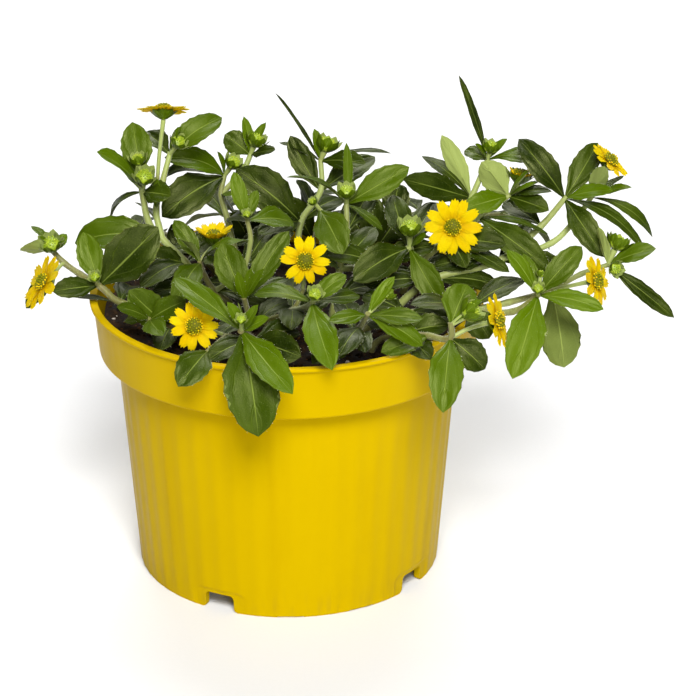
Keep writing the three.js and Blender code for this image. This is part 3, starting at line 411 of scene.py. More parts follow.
def stem_skin():
    finish = Finish("stem skin", {"Specular IOR Level": 0.4, "Sheen Weight": 0.15})
    blush = finish.noise(90, 3)
    streaks = finish.noise(1, 4, finish.stretched((1600, 1600, 250)))
    age = finish.attribute("age")
    base = finish.mix(finish.step(age, 0.25, 0.9), colour(142, 154, 82), colour(102, 100, 50))
    base = finish.mix(finish.step(blush, 0.5, 0.75, 0, 0.5), base, colour(102, 78, 44))
    base = finish.mix(finish.step(streaks, 0.45, 0.75, 0, 0.35), base, colour(150, 162, 92))
    roughness = finish.step(streaks, 0.3, 0.7, 0.45, 0.62)
    return finish.done(base, roughness, finish.relief(streaks, 0.5, 0.0002))


def leaf_skin_of(name, young, old_and_shaded, vein, gloss, groove):
    """Leaf skin, with its midrib, its forward-curving side veins and the fine net between them."""
    finish = Finish(name, {"Specular IOR Level": 0.25, "Specular Tint": colour(238, 246, 160)})
    blade_map = finish.node("ShaderNodeUVMap", {}, uv_map="blade").outputs[0]
    sides = finish.node("ShaderNodeSeparateXYZ", {0: blade_map})
    half_turn = finish.math("FRACT", finish.math("MULTIPLY", sides.outputs["X"], 2))
    across = finish.math("ABSOLUTE", finish.math("MULTIPLY_ADD", half_turn, 2, -1))
    along = sides.outputs["Y"]
    rib = finish.step(finish.math("MULTIPLY_ADD", along, 0.04, across), 0.03, 0.07, 1, 0)
    wobble = finish.math("MULTIPLY", finish.noise(180, 2), 0.05)
    sweep = finish.math("MULTIPLY", across, finish.math("MULTIPLY_ADD", across, 0.5, 0.45))
    climb = finish.math("SUBTRACT", finish.math("ADD", along, wobble), sweep)
    phase = finish.math("FRACT", finish.math("MULTIPLY_ADD", climb, 1.6, 0.3))
    side_vein = finish.step(finish.math("ABSOLUTE", finish.math("SUBTRACT", phase, 0.5)), 0.01, 0.06, 1, 0)
    side_vein = finish.math("MULTIPLY", side_vein, finish.step(across, 0.55, 0.95, 1, 0))
    quilt = finish.step(finish.math("ABSOLUTE", finish.math("SUBTRACT", phase, 0.5)), 0, 0.5, 0, 0.5)
    quilt = finish.math("MULTIPLY", quilt, finish.step(across, 0.6, 1, 1, 0))
    net = finish.step(finish.cells(1500, "DISTANCE_TO_EDGE"), 0, 0.16, 1, 0)
    hairs = finish.step(finish.cells(1150), 0.1, 0.22, 1, 0)
    edge = finish.step(across, 0.95, 0.985)
    age = finish.attribute("age")
    patches = finish.noise(140, 4)
    # Painted shade: the mix from the young to the old colour by age stands partly for a leaf's real age and
    # partly for shade, darkening leaves that lie low or deep in the plant.
    base = finish.mix(finish.step(age, 0, 0.93), young, old_and_shaded)
    lighter = finish.mix(0.22, base, vein)
    base = finish.mix(finish.step(patches, 0.35, 0.75, 0, 0.7), base, lighter)
    base = finish.mix(finish.math("MULTIPLY", net, 0.06), base, vein)
    base = finish.mix(finish.math("MULTIPLY", side_vein, 0.1), base, vein)
    base = finish.mix(finish.math("MULTIPLY", hairs, 0.1), base, colour(136, 152, 92))
    base = finish.mix(finish.math("MULTIPLY", edge, 0.6), base, colour(56, 50, 12))
    base = finish.mix(finish.math("MULTIPLY", rib, 0.5), base, finish.mix(0.5, vein, colour(150, 164, 80)))
    roughness = finish.step(patches, 0.2, 0.8, gloss, gloss + 0.14)
    sunk = finish.math("MULTIPLY_ADD", finish.math("MAXIMUM", rib, side_vein), groove, quilt)
    fine = finish.relief(finish.math("MULTIPLY_ADD", net, -0.5, hairs), 0.35, 0.00012)
    return finish.done(base, roughness, finish.relief(sunk, 0.4, 0.0006, fine))


def down():
    finish = Finish("white down", {"Specular IOR Level": 0.5})
    tint = finish.noise(400, 2)
    base = finish.mix(tint, colour(196, 206, 170), colour(226, 230, 206))
    return finish.done(base, finish.step(tint, 0.2, 0.8, 0.35, 0.55), finish.relief(tint, 0.2, 0.00005))


def bud_green():
    finish = Finish("bud green", {"Specular IOR Level": 0.45, "Sheen Weight": 0.1})
    spots = finish.noise(900, 3)
    age = finish.attribute("age")
    base = finish.mix(finish.step(spots, 0.35, 0.7), colour(122, 144, 18), colour(150, 168, 36))
    base = finish.mix(finish.step(age, 0.3, 1, 0, 0.8), base, colour(184, 188, 40))
    roughness = finish.step(spots, 0.3, 0.7, 0.38, 0.55)
    return finish.done(base, roughness, finish.relief(spots, 0.4, 0.0002))


stem_finishes = [
    stem_skin(),
    # The second colour of each leaf skin, for old leaves, is darkened further as painted shade for the
    # leaves deep inside the plant.
    leaf_skin_of("leaf upper side", colour(72, 93, 3), colour(21, 31, 0), colour(100, 118, 34), 0.3, -0.6),
    leaf_skin_of("leaf underside", colour(128, 140, 76), colour(60, 72, 22), colour(136, 148, 78),
                 0.46, 0.5),
    down(),
    bud_green(),
]


def flowing(nodes):
    """A smooth line through the nodes, as points about a millimetre and a half apart."""
    nodes = [Vector(node) for node in nodes]
    line = [nodes[0]]
    for step, (start, end) in enumerate(zip(nodes, nodes[1:])):
        before, after = nodes[max(step - 1, 0)], nodes[min(step + 2, len(nodes) - 1)]
        reach = (end - start).length / 3
        leaving = start + reach * (end - before).normalized()
        arriving = end - reach * (after - start).normalized()
        points = max(3, round((end - start).length / line_step))
        line += interpolate_bezier(start, leaving, arriving, end, points + 1)[1:]
    return line


def sections(line):
    """For each point of a line: the point, and two directions square to the line there."""
    across = Vector((1, 0.3, 0))
    rows = []
    for step, point in enumerate(line):
        along = (line[min(step + 1, len(line) - 1)] - line[max(step - 1, 0)]).normalized()
        across = (across - across.dot(along) * along).normalized()
        rows.append((point, across, along.cross(across)))
    return rows


def square_to(middle, way):
    """Two directions square to the way and to each other."""
    return sections([middle, middle + way])[0][1:]


def spoke(angle, across, over):
    return math.cos(angle) * across + math.sin(angle) * over


def blank():
    """An empty shape with the layers that stalks, leaves and petals need."""
    shape = bmesh.new()
    shape.loops.layers.uv.new("blade")
    shape.verts.layers.float.new("age")
    return shape


def facing(front):
    """Up for 0, towards the viewer for 1, away from the viewer for -1."""
    return (1 - abs(front)) * upward + front * toward_viewer


class LeafyStem:
    """One shoot from the soil, with its branches, leaves, bracts, buds and bloom stalks."""
    grown = []

    def __init__(self):
        self.grown.append(self)
        self.shape = blank()
        self.hairs = bmesh.new()
        self.draw = random.Random(len(self.grown))
        self.blooms = []

    @staticmethod
    def rooted(x, y, *path):
        return [(x, y, soil_level - root_depth), (x, y, soil_level + 2), *path]

    def hair(self, root, way, length):
        turn = way.to_track_quat("Z", "Y").to_matrix().to_4x4()
        place = Matrix.Translation(root + 0.5 * length * way.normalized()) @ turn
        bmesh.ops.create_cone(self.hairs, cap_ends=True, segments=3, radius1=hair_radius, radius2=0,
                              depth=length, matrix=place)

    def tube(self, line, radius_at, sides=stem_sides, material=BARK, age=0.5, ridge=0.0):
        """A round stalk along a line; radius_at gives its radius at each share of the line."""
        rows = sections(line)
        ends = len(rows) + 1

        def form(turn, share):
            row = round(share * ends)
            at_end = row in (0, ends)
            point, across, over = rows[min(max(row - 1, 0), len(rows) - 1)]
            angle = 2 * math.pi * turn
            radius = 0 if at_end else radius_at((row - 1) / (len(rows) - 1))
            radius *= 1 + ridge * math.cos(4 * angle)
            return point + radius * spoke(angle, across, over)

        rolled(self.shape, sides, ends, form, material, age=age)

    def stem(self, path, thick, thin):
        nodes = [Vector(node) for node in path]
        nodes[-1] += (nodes[-1] - nodes[-2]).normalized() * stem_end
        line = flowing(nodes)

        def radius_at(share):
            point = line[round(share * (len(line) - 1))]
            near = min((point - node).length for node in nodes[1:-1]) if len(nodes) > 2 else 9
            return (thick + (thin - thick) * share) / 2 * (1 + 0.16 * math.exp(-(near / 1.3) ** 2))

        low = min(1, max(0, (108 - line[len(line) // 2].z) / 24))
        self.tube(line, radius_at, age=low, ridge=0.05)
        for step in range(int(len(line) * line_step / stem_hair_step)):
            place = self.draw.random() * (len(line) - 2)
            low_row, share = int(place), place % 1
            point, across, over = sections(line[low_row:low_row + 2])[0]
            if point.z < soil_level + 1:
                continue
            point = point.lerp(line[low_row + 1], share)
            angle = 2 * math.pi * self.draw.random()
            out = spoke(angle, across, over)
            along = (line[low_row + 1] - line[low_row]).normalized()
            root = point + out * 0.98 * radius_at(place / (len(line) - 1))
            self.hair(root, out + along * self.draw.uniform(0.1, 0.9), self.draw.uniform(0.35, 0.8))

    def blade(self, start, tip, up, wide, arch, *, trough=0.0, outline, columns=8, rows=14,
              age=0.5, skin=leaf_skin, wave=0.0, hairs=0, teeth=0.0):
        """A leaf from start to tip: arched along its length, folded or bulged across it."""
        along = tip - start
        axis = along.normalized()
        up = (up - up.dot(axis) * axis).normalized()
        side = axis.cross(up)
        phase, bend = self.draw.uniform(0, 6.3), self.draw.uniform(-0.025, 0.025) * along.length

        def surface(across, share, under):
            middle = start + share * along + up * 4 * arch * share * (1 - share)
            middle += side * bend * math.sin(math.pi * share)
            slope = (along + up * 4 * arch * (1 - 2 * share)).normalized()
            normal = side.cross(slope)
            half = outline(share) * wide / 2 * (1 + teeth * math.cos(rows * math.pi * share))
            lift = trough * half * (1.5 * abs(across) - 0.5 * across * across)
            ripple = math.sin(9 * share + phase + 2 * math.copysign(1, across))
            lift += wave * half * across * across * ripple
            if under:
                edge = (1 - across * across) * math.sin(math.pi * min(1, share * 1.02)) ** 0.5
                rib = 0.7 * math.exp(-(across * 6) ** 2) * (1 - 0.8 * share) * min(1, wide / 9)
                lift -= (skin + rib) * max(0, edge)
            return middle + side * across * half + normal * lift

        def form(turn, share):
            column = 4 * turn - 1 if turn <= 0.5 else 3 - 4 * turn
            return surface(math.sin(column * math.pi / 2) * 0.35 + column * 0.65, share, turn > 0.5)

        rolled(self.shape, 2 * columns, rows, form, UPPER, age=age)
        for hair in range(hairs):
            share, edge = self.draw.uniform(0.1, 0.97), self.draw.choice((-1, 1))
            root = surface(0.99 * edge, share, False)
            self.hair(root, side * edge + axis * self.draw.uniform(0.3, 1), self.draw.uniform(0.25, 0.45))

    def leaf(self, node, tip, *, wide, front=0.3, arch=1.5, flat=None, age=None):
        """front turns the upper side from the sky (0) to the viewer (1) or to the back (-1); age
        runs from 0 for a fresh bright leaf to 1 for an old dark one, and its higher values also paint shade."""
        flat = wide < narrow_leaf if flat is None else flat
        node, tip = Vector(node), Vector(tip)
        tint = self.draw.uniform(-0.1, 0.1)
        # Bigger leaves count as older. Leaves whose tips lie low also get a higher age, partly for their
        # real age and partly as painted shade.
        if age is None:
            age = 0.45 + 0.3 * min(1, wide / 12) + min(0.3, max(0, (108 - tip.z) / 40))
        self.blade(node, tip, facing(front), wide, arch, trough=0.1 if flat else leaf_trough,
                   outline=leaf_outline, age=age + tint, wave=0.12, hairs=round((tip - node).length),
                   columns=8 if wide >= narrow_leaf else 6, teeth=0.035)

    def bract(self, node, tip, *, wide=3.5, front=0.3):
        self.blade(Vector(node), Vector(tip), facing(front), wide, 0.5, trough=0.3,
                   outline=leaf_outline, age=self.draw.uniform(-0.1, 0.25), columns=4, rows=8,
                   wave=0.05, hairs=8)

    def pair(self, node, turn, *, long=17, rise=0.2, front=0.25):
        """Two leaves across a node from each other; turn is in degrees round the upright."""
        for degrees in (turn, turn + 180):
            angle = math.radians(degrees)
            tip = Vector(node) + long * Vector((math.cos(angle), math.sin(angle), rise))
            self.leaf(node, tip, wide=pair_leaf, front=front, arch=2, flat=True)

    def pairs(self, path, first_turn, long, wide, seed):
        """Pairs of leaves at each node of a path, each pair square to the one before."""
        numbers = lcg(seed)
        for step, node in enumerate(path):
            before = max(step - 1, 0)
            along = (Vector(path[before + 1]) - Vector(path[before])).normalized()
            level = along.cross(upward).normalized()
            lift = level.cross(along).normalized()
            for half in (0, math.pi):
                angle = first_turn + (step % 2) * math.pi / 2 + half + 0.3 * (next(numbers) - 0.5)
                out = math.cos(angle) * level + 0.6 * math.sin(angle) * lift
                length = long * (0.85 + 0.3 * next(numbers))
                tip = Vector(node) + 0.8 * length * out + 0.5 * length * along
                self.leaf(node, tip, wide=wide, front=-0.2, arch=2, flat=True)

    def scales(self, middle, way, count, foot, head, wide, arch, turn):
        """A whorl of small scale leaves; foot and head are (radius, height) along the way."""
        across, over = square_to(middle, way)
        for scale in range(count):
            angle = turn + 2 * math.pi * scale / count
            out = spoke(angle, across, over)
            start = middle + foot[0] * out + foot[1] * way
            tip = middle + head[0] * out + head[1] * way
            self.blade(start, tip, out + 0.2 * way, wide, arch, trough=-0.25, outline=leaf_outline,
                       columns=4, rows=6, age=0.1 + self.draw.uniform(-0.1, 0.1), skin=0.25)

    def bud(self, node, middle, radius):
        """A flower bud: a stalk, a round head packed with florets, and two whorls of scales."""
        node, middle = Vector(node), Vector(middle)
        way = (middle - node).normalized()
        neck = middle - 0.85 * radius * way
        self.tube(flowing([node, neck]), lambda share: 0.6 + 0.5 * (0.5 * radius - 0.6) * share, age=0.1)
        across, over = square_to(middle, way)

        def head(turn, share):
            angle = 2 * math.pi * turn
            out = 0.95 * radius * math.sin(math.pi * share ** 0.9) ** 0.6
            out *= 1 + 0.05 * share * math.cos(9 * angle)
            return middle + out * spoke(angle, across, over) \
                + radius * (1.5 * share - 0.9) * way

        rolled(self.shape, 24, 9, head, BUD, age=0.1)
        florets = round(9 * radius)
        for floret in range(florets):
            spread = math.sqrt((floret + 0.5) / florets)
            angle = 2.4 * floret
            out = spoke(angle, across, over) * spread
            root = middle + 0.7 * radius * out + radius * (0.5 - 0.3 * spread * spread) * way
            tip = (way + 0.2 * out).normalized()
            size = 0.17 + 0.045 * radius
            self.tube([root, root + size * tip, root + 2 * size * tip],
                      lambda share: size * (0.75, 0.95, 0.5)[round(2 * share)], sides=6, material=BUD,
                      age=self.draw.uniform(0, 0.7))
        turn = self.draw.uniform(0, 6.3)
        self.scales(middle, way, 5, (0.4 * radius, -0.85 * radius), (1.1 * radius, 0.8 * radius),
                    1.2 * radius, 0.3 * radius, turn)
        self.scales(middle, way, 5, (0.4 * radius, -0.9 * radius), (1.5 * radius, 0.6 * radius),
                    1.05 * radius, 0.2 * radius, turn + 0.63)

    def bloom(self, node, middle, way, *, reach=7.8, rays=11, rise=0.12, via=None):
        """The stalk and green cup of a bloom. Its rays and its disc are pieces of their own."""
        middle, way = Vector(middle), Vector(way).normalized()
        cup_foot = middle - cup_height * way
        line = flowing([node, *([via] if via else []), cup_foot])
        self.tube(line, lambda share: bloom_stalk / 2 * (1 + 0.25 * share ** 6), age=0.25, ridge=0.05)
        for hair in range(round(len(line) * 4)):
            row = self.draw.randrange(len(line) - 1)
            point, across, over = sections(line[row:row + 2])[0]
            angle = 2 * math.pi * self.draw.random()
            out = spoke(angle, across, over)
            self.hair(point.lerp(line[row + 1], self.draw.random()) + out * bloom_stalk * 0.49,
                      out + 0.4 * (line[row + 1] - line[row]).normalized(), self.draw.uniform(0.3, 0.6))
        across, over = square_to(middle, way)

        def cup(turn, share):
            angle = 2 * math.pi * turn
            out = cup_radius * (0.35 + 0.65 * share) * abs(math.sin(math.pi * share ** 1.6)) ** 0.4
            return middle + out * spoke(angle, across, over) \
                + cup_height * (1.05 * share - 1.05) * way

        rolled(self.shape, 20, 7, cup, BUD, age=0)
        turn = self.draw.uniform(0, 6.3)
        steep = min(1, rise)
        inner, outer = (3.3 + 0.7 * steep, 0.3 + 1.5 * steep), (4.2 + 0.8 * steep, 0.25 + 2.1 * steep)
        self.scales(middle, way, 8, (0.9, -2.2), inner, 2.6, 0.3, turn)
        self.scales(middle, way, 8, (0.9, -2.1), outer, 2.6, 0.3, turn + 0.4)
        self.blooms.append((middle, way, reach, rays, rise))

    def settle(self, number):
        down_hairs = bpy.data.meshes.new("down")
        for face in self.hairs.faces:
            face.material_index = DOWN
        self.hairs.to_mesh(down_hairs)
        for face in self.shape.faces:
            if face.material_index == UPPER:
                turn = sum(loop[self.shape.loops.layers.uv["blade"]].uv.x for loop in face.loops)
                face.material_index = UPPER if turn / len(face.loops) < 0.5 else UNDER
        self.shape.from_mesh(down_hairs)
        bpy.data.meshes.remove(down_hairs)
        self.hairs.free()
        set_down(self.shape, f"shoot_{number:02d}", f"leafy_stem_{number:02d}",
                 stem_finishes, crease=55)


def lcg(seed):
    """The same even-handed numbers from 0 to 1 each time, from one seed."""
    while True:
        seed = (seed * 1664525 + 1013904223) % 4294967296
        yield seed / 4294967296


def leaf_outline(share):
    """Half-width of a leaf at a share of its length: a short stalk, a full middle, a blunt tip."""
    stalk = 0.13 * (1 - share) ** 3 * min(1, share * 30)
    return stalk + 0.99 * math.sin(math.pi * share ** 1.18) ** 0.6 * min(1, share * 2.6) ** 0.75


rooted = LeafyStem.rooted

# The age given to each leaf below sets its tone partly for its real age and partly as painted light and
# shade: leaves that lie in shadow get high, darkening ages, and well-lit ones get low, brightening ones.
# Far left: it leans over the rim and forks into a bloom and a bud that look outward
shoot = LeafyStem()
low = (-50, -13, 89)
fork = (-56, -12, 94)
head = (-67, -6, 99)
end = (-70, -5, 102)
shoot.stem(rooted(-30, -8, low, fork, (-62, -8, 96), head, end), 2.6, 1.6)
shoot.leaf(fork, (-61, -4, 108), wide=8, front=0.9, arch=-0.5, age=0.35)
shoot.leaf(fork, (-38, -10, 112), wide=14, front=0.9, arch=2, age=0.9)
shoot.leaf(fork, (-69.5, -18, 94.5), wide=7, front=0.7, arch=0.5, age=0.8)
shoot.leaf(fork, (-42, -3, 93), wide=7, front=0.1, age=0.6)
shoot.leaf(low, (-47, 1, 88.5), wide=8, front=0.5, arch=1.5, age=0.6)
shoot.leaf(low, (-70, 0, 86), wide=3.5, front=0, arch=0.5)
shoot.bud(fork, (-57, -15, 98), 1.6)
shoot.leaf(head, (-79, -6, 84), wide=6, front=0.6, age=0.6)
shoot.leaf(end, (-66, -3, 107), wide=4, front=0.4, arch=0.5, age=0.1)
shoot.leaf(end, (-77, 0, 108.5), wide=4, front=-0.1, arch=1, age=0.3)
shoot.leaf(end, (-79, -13, 106.3), wide=6, front=-0.6, arch=1, age=0)
shoot.bud(end, (-70.5, -7, 105.5), 2.9)
shoot.bract(end, (-66, -9, 107))
shoot.bract(end, (-74, -8, 108))
shoot.bloom(head, (-71.8, -16, 96.4), (-0.77, -0.3, 0.56), via=(-69, -11, 98), reach=9.2)

# Upright left: two tall shoots with crowded buds, and a bloom on a thin bare stalk
shoot = LeafyStem()
low = (-31, 4, 95)
fork = (-38, 8, 101)
neck = (-42, 10, 105)
node = (-44, 12, 115)
top = (-44, 11, 120)
shoot.stem(rooted(-24, 6, (-27, 5, 88), low, fork, neck, node, top), 2.6, 1.8)
shoot.pair((-27, 5, 88), 170, rise=-0.1, front=0.5)
shoot.pair(low, 50, long=20, rise=-0.1, front=0.5)
shoot.leaf(top, (-47, 19, 135), wide=9.5, front=0.9, arch=-1, age=0.45)
shoot.leaf(node, (-57, 6, 130), wide=9, front=0.3, arch=1.5, age=0.3)
shoot.leaf(node, (-54.5, 16, 102), wide=6.5, front=0.2, arch=3.5, age=0.8)
shoot.leaf(node, (-35, 6, 116), wide=8, front=0.7, arch=0.5, age=0.7)
shoot.leaf(fork, (-65, 10, 99), wide=12, front=0.6, arch=4.5, age=0.5)
shoot.leaf(low, (-43, -1, 99), wide=8, front=0.7, arch=1)
shoot.bud(top, (-45, 11, 126), 2.3)
shoot.bud(node, (-43, 8, 121.5), 2.8)
shoot.bract(node, (-48, 8, 121))
elbow = (-40, 12, 109)
bend = (-38, 16, 117)
crown = (-36, 20, 124)
shoot.stem([fork, elbow, bend, crown], 2, 1.6)
shoot.leaf(crown, (-20, 26, 134), wide=8.5, front=0.7, arch=3.5, age=0.35)
shoot.leaf(crown, (-44, 27, 129), wide=7, front=0.4, arch=1, age=0.7)
shoot.bract(elbow, (-39, 10, 120))
shoot.bract(crown, (-32, 18, 134))
shoot.bud(crown, (-33, 18, 129), 2.4)
shoot.bloom(elbow, (-37.4, 18, 138.4), (0, 0.5, 0.87), via=(-39, 15, 124), reach=8.3, rays=12)

# Mid left: a cup-shaped bloom, and a slim young shoot beside it
shoot = LeafyStem()
low = (-22, -2, 88)
node = (-26, -4, 98)
shoot.stem(rooted(-16, -2, low, (-25, -2, 93), node), 2.4, 1.6)
shoot.pair(low, 170, long=20, rise=-0.1, front=0.5)
shoot.leaf(node, (-32, -10, 108), wide=4, front=-0.1, age=0.2)
shoot.leaf(node, (-34, 1, 110), wide=6, front=0.6, age=0.5)
shoot.leaf(node, (-16, -12, 109), wide=5, front=0.3, age=0.3)
shoot.leaf(node, (-33, -23, 92), wide=8, front=0.7, arch=3, age=0.6)
shoot.bloom(node, (-22, 0, 104.4), (0, 0.05, 1), via=(-24.8, -2.8, 100), reach=7.4, rise=0.7)
elbow = (-14, 0, 93)
neck = (-11, 2, 103)
head = (-12, 3, 109)
shoot.stem([low, elbow, neck, head], 2, 1.4)
shoot.pair(elbow, 60, long=20, rise=0.5)
shoot.leaf(head, (-16, 8, 123), wide=5, front=0.6, arch=1, age=0.2)
shoot.leaf(head, (-9, 8, 117), wide=4, front=0.5, arch=1, age=0.3)
shoot.leaf(neck, (-22, -7, 104), wide=4, front=0, arch=1, age=0.3)
shoot.leaf(head, (2, 11, 105), wide=8, front=0.5, arch=2, age=0.5)
shoot.bud(head, (-12, 1, 112), 1.3)

# Back left: two buds high over drooping dark leaves
shoot = LeafyStem()
foot = (-17, 25, 92)
low = (-19, 28, 100)
fork = (-21, 31, 107)
node = (-20, 34, 112)
shoot.stem(rooted(-14, 20, foot, low, fork, node), 2.4, 1.6)
shoot.pair(foot, 20, long=20, rise=0.1, front=0.5)
shoot.pair(low, 120, long=20, rise=0.3, front=0.5)
shoot.bud(node, (-17, 33, 117), 2.5)
shoot.leaf(node, (-38, 26, 121), wide=8.5, front=0.6, arch=3.5, age=0.4)
shoot.leaf(node, (-40, 40, 109), wide=7, front=0.3, arch=4, age=0.9)
shoot.leaf(node, (-39, 22, 103), wide=12, front=0.8, arch=3, age=0.95)
shoot.leaf(fork, (-14, 22, 110), wide=5, front=0.3, arch=1, age=0.3)
shoot.bract(node, (-22, 32, 121), wide=2.5)
elbow = (-14, 38, 113)
crown = (-12, 40, 117)
shoot.stem([fork, elbow, crown], 1.8, 1.6)
shoot.bud(crown, (-10, 40, 122), 2.8)
shoot.leaf(crown, (-20, 42, 123), wide=8, front=0.8, arch=0.5, age=0.7)
shoot.leaf(crown, (-4, 33, 121), wide=5, front=0.5, arch=0.5, age=0.8)
shoot.bract(crown, (-14, 42, 129))
shoot.bract(crown, (-7, 42, 127))

# Centre back: a bud with long leaves that are seen edge-on, over one broad dark leaf
shoot = LeafyStem()
foot = (3, 17, 92)
low = (4, 20, 102)
fork = (10, 29, 109)
node = (10, 34, 117)
shoot.stem(rooted(2, 14, foot, low, fork, node), 2.4, 1.6)
shoot.pair(foot, 10, long=20, rise=-0.1, front=0.5)
shoot.pair(low, 50, long=20, rise=0.1, front=0.5)
shoot.bud(node, (12, 35, 122.5), 3.2)
shoot.leaf(node, (-4, 38, 138), wide=3, front=0, arch=1, age=0.9)
shoot.leaf(node, (32, 34, 119.5), wide=4, front=0, arch=2, age=0.9)
shoot.leaf(node, (-3, 40, 121), wide=4, front=0, arch=1, age=0.9)
shoot.leaf(fork, (0.5, 38, 124), wide=7.5, front=0.9, arch=-0.5, age=0.75)
shoot.leaf(node, (24, 26, 119), wide=7, front=0.6, arch=1, age=0.8)
shoot.leaf(fork, (27, 41, 116), wide=9, front=0.5, arch=1, age=0.8)
shoot.leaf(low, (-16, 24, 118), wide=12.5, front=0.8, arch=3, age=0.95)
shoot.bract(node, (8, 36, 127))

# Front left: a young rosette whose broadest leaf hangs over the rim, and a bloom beside it
shoot = LeafyStem()
low = (-9, -42, 89)
node = (-12, -52, 96)
side = (-17, -41, 90)
shoot.stem(rooted(-8, -34, low, node), 2.4, 2)
knot = (-22, -50, 89)
shoot.stem([low, side], 1.6, 1.4)
shoot.stem([side, knot], 1.4, 1.2)
shoot.leaf(node, (-32, -36, 106), wide=7, front=0.6, arch=2, age=0.35)
shoot.leaf(node, (-7, -70, 71), wide=16, front=0.9, arch=4, age=0.6)
shoot.leaf(node, (3, -76, 87), wide=9.5, front=0.8, arch=2, age=0.2)
shoot.pair(low, 40, rise=-0.1, front=0.5)
shoot.leaf(low, (5, -52, 88), wide=10, front=0.8, arch=1.5, age=0.85)
shoot.leaf(knot, (-30, -63, 83.5), wide=9.5, front=0.8, arch=2.5, age=0.6)
shoot.bract(node, (-16, -54, 106), front=0.5)
shoot.bract(node, (-13, -52, 105), wide=2.5, front=0)
shoot.bract(node, (-7, -56, 106), wide=3.4, front=0.6)
shoot.bract(node, (-4, -56, 102), wide=4, front=0.6)
shoot.bud(node, (-12, -55, 101), 1.5)
shoot.bloom(side, (-26, -43, 94), (-0.1, -0.95, 0.3), via=(-22, -39, 91), reach=7.6)

# Low left: leaves that lie on the soil just inside the rim
shoot = LeafyStem()
low = (-34, -26, 86)
node = (-40, -29, 90)
shoot.stem(rooted(-28, -22, low, node), 2, 1.6)
shoot.pair(low, 80, long=14, rise=-0.1)
shoot.leaf(node, (-47, -22, 88), wide=7, front=0.6, arch=1, age=0.6)
shoot.leaf(low, (-46, -28, 99), wide=10, front=0.9, arch=1, age=0.6)
shoot.leaf(node, (-49, -36, 97), wide=5, front=0.6, arch=1, age=0.5)
shoot.leaf(node, (-29, -31, 97), wide=7, front=0.8, arch=1, age=0.6)
shoot.leaf(node, (-35, -46, 92), wide=7, front=0.8, arch=1, age=0.5)

# Centre: a bloom that faces the viewer, and two shoots that reach forward
shoot = LeafyStem()
low = (-9, -20, 85)
node = (-12, -26, 95)
shoot.stem(rooted(-6, -16, low, (-11, -24, 90), node), 2.4, 1.6)
shoot.pair(low, 50, rise=0.1)
shoot.leaf(node, (-19, -18, 110), wide=9.5, front=0.9, arch=1, age=0.5)
shoot.leaf(node, (1, -20, 99), wide=5, front=0.3, age=0.6)
shoot.leaf(node, (1, -16, 113), wide=7.5, front=0.8, arch=1, age=0.45)
shoot.bract(node, (-10, -28, 106), wide=3.2, front=0.7)
shoot.bract(node, (-6, -31, 107), wide=3.4, front=0.6)
shoot.bract(node, (-14, -28, 105), wide=3.2, front=0.7)
fork = (2, -24, 91)
stalk_foot = (5, -24, 97)
elbow = (6, -34, 96)
crown = (8, -40, 100)
shoot.stem([low, fork, stalk_foot], 1.8, 1.4)
shoot.pair(fork, 90, long=20, rise=0.1)
shoot.stem([fork, elbow, crown], 1.8, 1.6)
shoot.bloom(stalk_foot, (6, -27, 108), (0, -0.95, 0.3), reach=7.6, rays=10, via=(6, -22, 104))
shoot.bud(crown, (9, -43, 104), 2)
shoot.leaf(crown, (18, -36, 107), wide=6, front=0.6, arch=1, age=0.4)
shoot.leaf(crown, (14, -64, 89), wide=9.5, front=0.9, arch=2, age=0.25)
shoot.leaf(crown, (-9, -34, 100), wide=8, front=0.2, arch=2, age=0.4)
shoot.leaf(crown, (22, -30, 98), wide=6, front=0.5, arch=1, age=0.6)

# Centre right: a budding shoot at the back and a thick round bud before it
shoot = LeafyStem()
foot = (15, -3, 87)
low = (16, -1, 95)
fork = (18, 0, 106)
node = (18, 4, 114)
young = (10, 2, 113)
shoot.stem(rooted(14, -4, foot, low, fork, node), 2.6, 1.6)
shoot.pair(foot, 40, rise=-0.1, front=0.5)
shoot.pair(low, 50, rise=0.5, front=0.5)
shoot.stem([fork, young], 1.4, 1.2)
shoot.bud(node, (18, 3, 118.5), 2.6)
shoot.leaf(node, (0, 0, 124), wide=6, front=-0.1, arch=3, age=0.4)
shoot.leaf(node, (37, 8, 124.5), wide=8.5, front=0.8, arch=1, age=0.45)
shoot.leaf(young, (17, -12, 104), wide=10.5, front=0.9, arch=2, age=0.5)
shoot.leaf(node, (29, 0, 107), wide=4, front=0.2, arch=1, age=0.5)
shoot.leaf(node, (18, 20, 128), wide=3, front=0.2, arch=0.5, age=0.3)
shoot.leaf(fork, (26, 14, 116), wide=8, front=0.6, arch=1, age=0.9)
shoot.bud(young, (8, 1, 116), 1.3)
elbow = (28, -3, 97)
crown = (37, -4, 103)
shoot.stem([low, elbow, crown], 2, 2)
shoot.bud(crown, (37, -5, 110), 3.2)
shoot.leaf(crown, (47, -14, 88), wide=8, front=0.9, arch=2, age=0.45)
shoot.leaf(crown, (42, -9, 109), wide=4, front=0.5, arch=0.5, age=0.3)
shoot.pair(elbow, 10, rise=0.3, front=0.5)
shoot.leaf(crown, (20, -16, 97), wide=10.5, front=0.8, arch=2, age=0.7)
shoot.leaf(crown, (32, 12, 114), wide=8, front=0.6, arch=1, age=0.9)
shoot.leaf(crown, (46, 16, 110), wide=8, front=0.5, arch=1, age=0.9)

